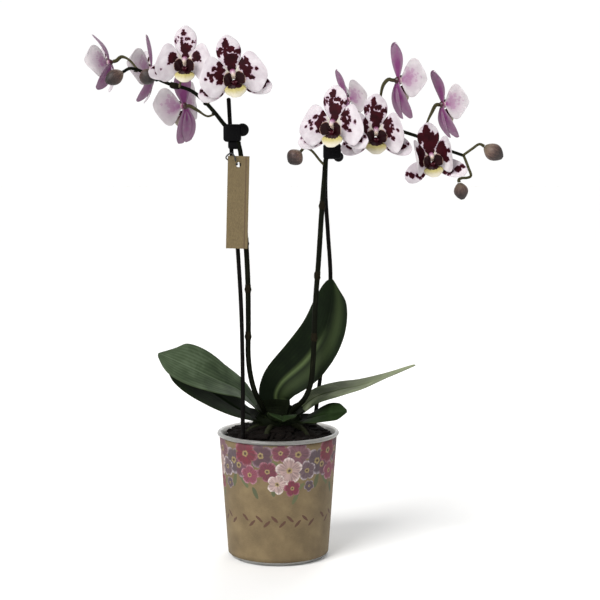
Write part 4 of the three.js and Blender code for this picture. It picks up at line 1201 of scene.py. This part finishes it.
loop = tube(Path([tuple(hole + point) for point in LOOP]), lambda s, angle: WIRE_RADIUS, 12, 120)
piece("wire_loop", [loop], [material("black_wire_coat", black_coat)], "tie", "tag_tie")
print("tag", TAG["width"], "by", TAG["height"], "mm")

# %% [markdown]
# ## The blooms
#
# A moth orchid's bloom has three sepals and two broad petals, much alike and together called tepals, a short
# column where its sexes are joined, and a lip with two upright side lobes and a middle lobe that reaches
# forward. The tepals are white, with deep maroon blotches that break into spots and have a purple fringe, and
# a purple flush on their backs. Each blotch is an oval given in the bloom's own millimetres. The shader takes
# the distance to the nearest one, stirs it with noise and cuts it off, so its edge stays ragged and crisp at
# any zoom, and each bloom draws another slice of the noise, so no two are alike.

# %% Blotched petal skin
# Each blot is an oval: across and along in mm from the bloom's middle, half width, half length
TOP_BLOTS = [(0.2, 6, 3.6, 6.5), (0.4, 13.5, 5.6, 5.6), (-3.4, 19.5, 1.9, 3.6), (-3.2, 23, 1.8, 1.7),
             (-6.8, 24, 1.5, 1.2), (-7.2, 20.8, 1.0, 1.6), (-1.8, 27.6, 2.9, 2.9), (-1.6, 30.6, 1.5, 1.6),
             (0.4, 22.6, 1.6, 2.2), (3.3, 22.6, 2.0, 2.2), (6.7, 19.8, 1.9, 1.9), (5.6, 15.4, 1.6, 2.4),
             (9.6, 19.6, 1.2, 2.4), (-9.6, 20.4, 1.3, 3.0)]
PETAL_BLOTS = [(9.3, 13.2, 1.9, 2.0), (14, 12, 1.7, 2.3), (7.6, 9.8, 2.0, 1.9), (11, 9.6, 2.5, 2.8),
               (10.3, 5.6, 3.1, 2.8), (15.4, 8.4, 1.4, 1.5), (16.2, 5.4, 1.9, 1.4), (13, 2.8, 3.3, 2.4),
               (11.9, -1.2, 2.9, 2.6), (16.4, -3.2, 2.1, 1.8), (21.7, 5.2, 1.5, 1.4),
               (-9.7, 10.8, 2.9, 2.9), (-11.6, 7.4, 2.2, 2.2), (-10.1, 5, 2.9, 2.2), (-14.2, 3.2, 2.8, 2.1),
               (-12.1, 0.8, 3.3, 2.5), (-12.3, -3.8, 3.2, 2.4), (-9.6, -0.4, 2.1, 2.1),
               (-16.1, 9, 2.1, 2.1), (-21.6, 5.9, 1.5, 1.5), (-19.3, 4.4, 1.4, 1.0), (-20, 2.6, 1.4, 1.2),
               (-19.6, -0.6, 1.5, 1.5), (-24.9, 2.7, 1.0, 1.0)]
CALM_BLOTS = [(11.8, 6.3, 4.5, 4.9), (8.5, 2.5, 1.6, 2.4), (15.5, 2.5, 1.3, 1.2), (-12.3, 4.8, 4.5, 5.3),
              (-8.6, 0.6, 1.8, 2.2), (-15.8, 0.4, 1.3, 1.5), (-23.6, -2.5, 1.1, 0.9)]
SIDE_BLOTS = [(0.6, 4.5, 2.8, 4.5), (4.6, 20.8, 2.9, 2.1), (-0.6, 26.4, 2.8, 2.6), (-5.0, 29, 1.4, 1.8),
              (6.6, 16.4, 1.7, 1.9)]

PETAL_VEINS = 52.0  # radians of wave from the middle to the rim
FAR, RUN_TOGETHER = 9.0, 0.6  # mm: past any blot, and how near two blots are when they run together


def blotched_petal(tree, blots, back, even, flush):
    """Soft petal skin: white with maroon blotches in front, flushed with the colour back behind."""
    across, along, side = sheet_place(tree)
    place = pattern(tree)
    spot = apart(tree, place)
    flat = joined(tree, spot["X"], spot["Y"])
    stirred = stir(tree, flat, noise(tree, place, 0.28, 3, Roughness=0.6, out="Color"), 3.8)
    distance = FAR
    for x, y, half_across, half_along in blots:
        share = oval(tree, stirred, (x, y), half_across, half_along)
        reach = min(half_across, half_along)
        outside = maths(tree, "MULTIPLY_ADD", share, reach, -reach)
        distance = maths(tree, "SMOOTH_MIN", distance, outside, RUN_TOGETHER)
    extra = node(tree, "ShaderNodeAttribute", out="Fac", attribute_name="spread_mm")
    distance = maths(tree, "SUBTRACT", distance, extra)
    cells = {"Vector": place, "Scale": 0.5, "Smoothness": 0.4}
    drops = node(tree, "ShaderNodeTexVoronoi", cells, "Distance", feature="SMOOTH_F1")
    ragged = maths(tree, "MULTIPLY_ADD", drops, 1.25, distance)
    blotch = mapped(tree, ragged, 0.7, 0.42)
    fringe = mapped(tree, ragged, 1.4, 0.6, 0.5)
    clouds = noise(tree, place, 0.12, 3)
    bent = maths(tree, "MULTIPLY", clouds, 9.0)
    vein_lines = maths(tree, "MULTIPLY_ADD", across, PETAL_VEINS, bent)
    fine_veins = maths(tree, "POWER", waves(tree, vein_lines), 3.0)
    white = ramp(tree, clouds, (0.3, "#b9b0b6"), (0.7, "#d0cbce"))
    vein_share = maths(tree, "MULTIPLY", fine_veins, 0.06)
    front = blend(tree, vein_share, white, "#d9a9c6")
    foot = mapped(tree, along, 0.22, 0.02, 0.45)
    front = blend(tree, foot, front, "#d6d79a")
    front = blend(tree, fringe, front, "#93497d")
    deep = ramp(tree, clouds, (0.3, "#1e0106"), (0.75, "#380410"))
    front = blend(tree, blotch, front, deep)
    in_from_rim = maths(tree, "MULTIPLY", across, across)
    middle = mapped(tree, in_from_rim, 0.6, 0.0)
    towards_foot = mapped(tree, along, 0.85, 0.1)
    flushed = maths(tree, "MULTIPLY", middle, towards_foot)
    streaked = maths(tree, "MULTIPLY_ADD", fine_veins, 0.06, clouds)
    patchy = maths(tree, "MULTIPLY", streaked, flushed)
    share = maths(tree, "MULTIPLY_ADD", patchy, flush, even, use_clamp=True)
    pale_back = ramp(tree, clouds, (0.3, "#b3acb0"), (0.7, "#c9c3c5"))
    behind = blend(tree, share, pale_back, back)
    through = maths(tree, "MULTIPLY", blotch, 0.32)
    behind = blend(tree, through, behind, "#8b4a7c")
    in_front = mapped(tree, side, 0.93, 1.0)
    colour = blend(tree, in_front, behind, front)
    height = maths(tree, "MULTIPLY_ADD", fine_veins, 0.35, clouds)
    bump = dents(tree, height, 0.2, 0.0005)
    thin = soft(0.03, 0.5, (0.003, 0.002, 0.002))
    return principled(tree, colour, 0.6, bump, 0.1, **thin)


print("blots", sum(len(blots) for blots in (TOP_BLOTS, PETAL_BLOTS, CALM_BLOTS, SIDE_BLOTS)))


# %% Lip and column skin
def lip_skin(tree, inside, margin, tip, foot, reach):
    """Waxy lip: deep maroon within, then a dull yellow or tan margin and a pale rim, with ragged borders."""
    across, along, side = sheet_place(tree)
    streaks = noise(tree, pattern(tree), 0.7, 3)
    out = oval(tree, joined(tree, across, along), (0, foot), *reach)
    stirred = maths(tree, "MULTIPLY_ADD", streaks, 0.5, out)
    share = maths(tree, "MULTIPLY", stirred, 0.4)
    inner = ramp(tree, share, (0.47, inside), (0.5, margin), (0.58, margin), (0.84, tip))
    outer = ramp(tree, along, (0.2, "#5e1f38"), (0.7, tip))
    colour = blend(tree, side, outer, inner)
    bump = dents(tree, streaks, 0.25, 0.0004)
    thin = soft(0.03, 0.4, (0.002, 0.001, 0.001))
    return principled(tree, colour, 0.45, bump, 0.15, **thin)


def column_skin(tree):
    """The column: maroon at its foot, pink in the middle, and a white cap at its tip."""
    grain = noise(tree, pattern(tree), 0.9, 2)
    stirred = maths(tree, "MULTIPLY_ADD", grain, 0.25, sheet_place(tree)["Y"])
    colour = ramp(tree, stirred, (0.5, "#360616"), (0.72, "#8c456f"), (0.88, "#bda3b1"), (1.0, "#c9b6a6"))
    bump = dents(tree, grain, 0.15, 0.0004)
    return principled(tree, colour, 0.35, bump, **soft(0.15, 0.5, (0.003, 0.002, 0.002)))


TEPAL_FINISHES = [
    material("top_sepal_skin", blotched_petal, blots=TOP_BLOTS, back="#6a2f60", even=0.75, flush=0.8),
    material("petal_skin", blotched_petal, blots=PETAL_BLOTS, back="#86397a", even=0.0, flush=1.5),
    material("side_sepal_skin", blotched_petal, blots=SIDE_BLOTS, back="#6e3064", even=0.72, flush=0.8),
    material("column_skin", column_skin),
    material("calm_petal_skin", blotched_petal, blots=CALM_BLOTS, back="#86397a", even=0.0, flush=1.5)]
LIP_FINISHES = [
    material("side_lobe_skin", lip_skin, inside="#1e0206", margin="#8c6a60", tip="#c4b7a8", foot=0.4,
             reach=(1.12, 0.72)),
    material("middle_lobe_skin", lip_skin, inside="#22030b", margin="#b0a56a", tip="#c9c3b0", foot=0.0,
             reach=(1.1, 0.46)),
    material("maroon_callus_skin", streaked_skin, "#1c0308", "#2f0611", "#4a0f23", 0.4),
    material("white_horn_skin", streaked_skin, "#3a1a22", "#5c3a40", "#74565a", 0.45)]


# %% The five tepals and the column
def tepals(bloom, number):
    """The three sepals, two petals and column, in mm from the bloom's middle, with z towards the viewer."""
    swing = math.radians(bloom["sweep"])
    hood = bloom["hood"]
    out, down = math.sin(math.radians(bloom["splay"])), math.cos(math.radians(bloom["splay"]))

    def ripple(u, t, phase):
        return 0.35 * np.sin(6 * t + 3 * u + phase + number) * np.abs(u) * t

    def top_sepal(u, t):
        reach = half_width(t, TOP_SEPAL)
        return zipped(
            reach * u,
            1.5 + TOP_SEPAL["length"] * t - 0.1 * hood * t * t - 1.5 * u**4 * smooth(t, 0.6, 1),
            -0.6 + (hood - 1.5) * t * t - 1.4 * u * u * t + ripple(u, t, 0))

    def petal(hand):
        def surface(u, t):
            reach = half_width(t, PETAL)
            x = 2 + PETAL["length"] * t - 1.2 * u * u * t - 2.6 * u**4 * smooth(t, 0.55, 1)
            y = 0.6 + 2.6 * t - bloom["droop"] * t * t + reach * u * hand
            z = 1.3 + 2 * np.sin(np.pi * t) * (1 - u * u) - 1.2 * t + 0.9 * np.sin(2.6 * u) * t * t
            bend = 1.6 * swing * x / (2 + PETAL["length"])
            return zipped(hand * x * (1 - bend**2 / 6), y, z + x * bend / 2 + ripple(u, t, hand))
        return surface

    def side_sepal(hand):
        def surface(u, t):
            reach = half_width(t, SIDE_SEPAL) * u
            away = 0.5 + SIDE_SEPAL["length"] * t - 1.2 * u**4 * smooth(t, 0.6, 1)
            return zipped(
                hand * (1.2 + out * away) + down * reach,
                -1.6 - down * away + out * reach * hand,
                -1.7 - 1.8 * t * t + 0.65 * swing * away * t - 1.1 * u * u * t + ripple(u, t, 2 * hand))
        return surface

    def sliced(x, y):
        return zipped(x, y, np.full_like(x, SLICES["bloom"] * number))

    parts = [sheet(top_sepal, 22, 38, PETAL_SKIN,
                   lambda u, t: sliced(half_width(t, TOP_SEPAL) * u, 1.5 + TOP_SEPAL["length"] * t),
                   spread=bloom.get("top_spread", bloom["spread"]))]
    for hand in (1, -1):
        parts.append(sheet(petal(hand), 36, 36, PETAL_SKIN,
                           lambda u, t: sliced(hand * (2 + PETAL["length"] * t),
                                               0.6 + 2.6 * t + half_width(t, PETAL) * u * hand),
                           finish=bloom.get("petal_finish", 1), spread=bloom["spread"], hand=-1))
        parts.append(sheet(side_sepal(hand), 20, 34, PETAL_SKIN,
                           lambda u, t: sliced(-hand * half_width(t, SIDE_SEPAL) * u,
                                               0.5 + SIDE_SEPAL["length"] * t),
                           finish=2, spread=bloom["spread"] * 0.5, hand=-1))
    parts.append(tube(Path(COLUMN), lambda s, angle: 0.94 * (2.5 + 0.8 * np.sin(np.pi * s) - 0.8 * s)
                      * np.clip(1 - ((s - 0.86) / 0.16).clip(0, 1) ** 2 * 0.8, 0.1, 1)
                      * (1 - 0.1 * np.exp(-((s - 0.78) / 0.03) ** 2)), 20, 28, finish=3))
    parts.append(tube(Path([(0, 0, -BLOOM_BACK), (0, 0, -1.5), (0, 0, 2.1)]),
                      lambda s, angle: 1.4 + 2.3 * np.sin(np.pi * np.minimum(s, 0.5)), 20, 12, finish=3))
    return parts


# %% The lip
def lip(number):
    """The middle lobe, the two side lobes, the callus between them and its two horns."""
    def middle_lobe(u, t):
        edge = 0.5 * np.sin(9 * t + number) * np.abs(u) ** 3 * t
        keel = 0.9 * np.exp(-((u / 0.16) ** 2)) * (1 - t)
        return zipped(
            half_width(t, LIP_MIDDLE) * u,
            -6.6 - LIP_MIDDLE["length"] * t + 1.6 * u**4 * smooth(t, 0.5, 1),
            4.4 + 6.4 * t - 1.6 * t * t - 1.6 * u * u + edge + keel)

    def side_lobe(hand):
        def surface(u, t):
            reach = half_width(t, LIP_SIDE) * u
            return zipped(
                hand * (2 + LIP_SIDE["length"] * t - 0.6 * u**4 * smooth(t, 0.5, 1)) - 0.45 * reach,
                -6.6 + 5.2 * t + 0.85 * reach * hand,
                4.4 + 6.6 * t + 1.2 * u * u * t + 0.25 * np.sin(7 * u + 5 * t))
        return surface

    def drawn(u, t):
        return zipped(8 * u, 14 * t, np.full_like(t, SLICES["lip"] * number))

    parts = [sheet(middle_lobe, 22, 22, PETAL_SKIN, drawn, finish=1, hand=-1)]
    parts += [sheet(side_lobe(hand), 16, 18, PETAL_SKIN, drawn, hand=-1) for hand in (1, -1)]
    parts.append(tube(Path([(0, -5.8, 2.4), (0, -6.8, 4.4), (0, -8.4, 7.4)]),
                      lambda s, angle: 1.3 + 1.3 * np.sin(np.pi * s), 16, 14, finish=2))
    for hand in (1, -1):
        horn = Path([(hand * 0.7, -7.4, 6.6), (hand * 1.5, -6.6, 8.0), (hand * 2.5, -6.4, 8.6)])
        parts.append(tube(horn, lambda s, angle: 0.95 * (1 - 0.75 * s), 10, 10, finish=3))
    return parts


def placed(parts, bloom):
    """Scales, turns and moves a bloom's parts to where it hangs and looks."""
    turn = (Matrix.Rotation(math.radians(bloom["turn"]), 3, "Z")
            @ Matrix.Rotation(math.pi / 2 - math.radians(bloom["nod"]), 3, "X")
            @ Matrix.Rotation(math.radians(bloom["roll"]), 3, "Z"))
    for one in parts:
        one["points"] = np.array(bloom["at"]) + bloom["size"] * one["points"] @ np.array(turn).T
    return parts


for number, (name, bloom) in enumerate(BLOOMS.items()):
    flower, flower_lip = placed(tepals(bloom, number), bloom), placed(lip(number), bloom)
    piece("tepals_" + name, flower, TEPAL_FINISHES, "tepal", f"bloom_{name}_tepals")
    piece("lip_" + name, flower_lip, LIP_FINISHES, "lip", f"bloom_{name}_lip")
print("blooms", len(BLOOMS))

# %% [markdown]
# ## The buds
#
# A closed bud is an egg with three seams, where the outer tepals meet. It is greenish beige at its foot and
# dark brown at its blunt point.

# %% Buds
def bud_skin(tree):
    """Matte bud skin, brown towards its tip, with veins about a millimetre apart."""
    drawn_out = vectors(tree, "MULTIPLY", pattern(tree), (0.9, 0.9, 0.2))
    veins = noise(tree, drawn_out, 1.0, 4)
    mixed = maths(tree, "MULTIPLY_ADD", veins, 0.7, sheet_place(tree)["Y"])
    share = maths(tree, "MULTIPLY", mixed, 0.6)
    colour = ramp(tree, share, (0.15, "#4f4a34"), (0.33, "#6b574a"), (0.48, "#4d3933"), (0.6, "#30201c"),
                  (0.76, "#1b100e"))
    bump = dents(tree, veins, 0.3, 0.0005)
    return principled(tree, colour, 0.58, bump, **soft(0.1, 0.4, (0.002, 0.002, 0.001)))


bud_finish = material("bud_skin", bud_skin)
for number, (name, bud) in enumerate(BUDS.items()):
    start, tip = np.array(bud["stalk_end"], float), np.array(bud["tip"], float)
    away = unit(tip - start)
    axis = Path([start + (CLEARANCE + 0.2) * away, (start + tip) / 2, tip - 0.2 * away])

    def bud_radius(s, angle, radius=bud["radius"]):
        seam = np.exp(-((np.cos(1.5 * angle) / 0.16) ** 2))
        return radius * np.clip(np.sin(np.pi * (0.05 + 0.91 * s)), 0, 1) ** 0.75 * (0.99 - 0.07 * seam)

    egg = tube(axis, bud_radius, 60, 36, close_ends=True, offset=SLICES["bud"] * number)
    piece("closed_bud_" + name, [egg], [bud_finish], "bud", "bud_" + name)
print("buds", len(BUDS))
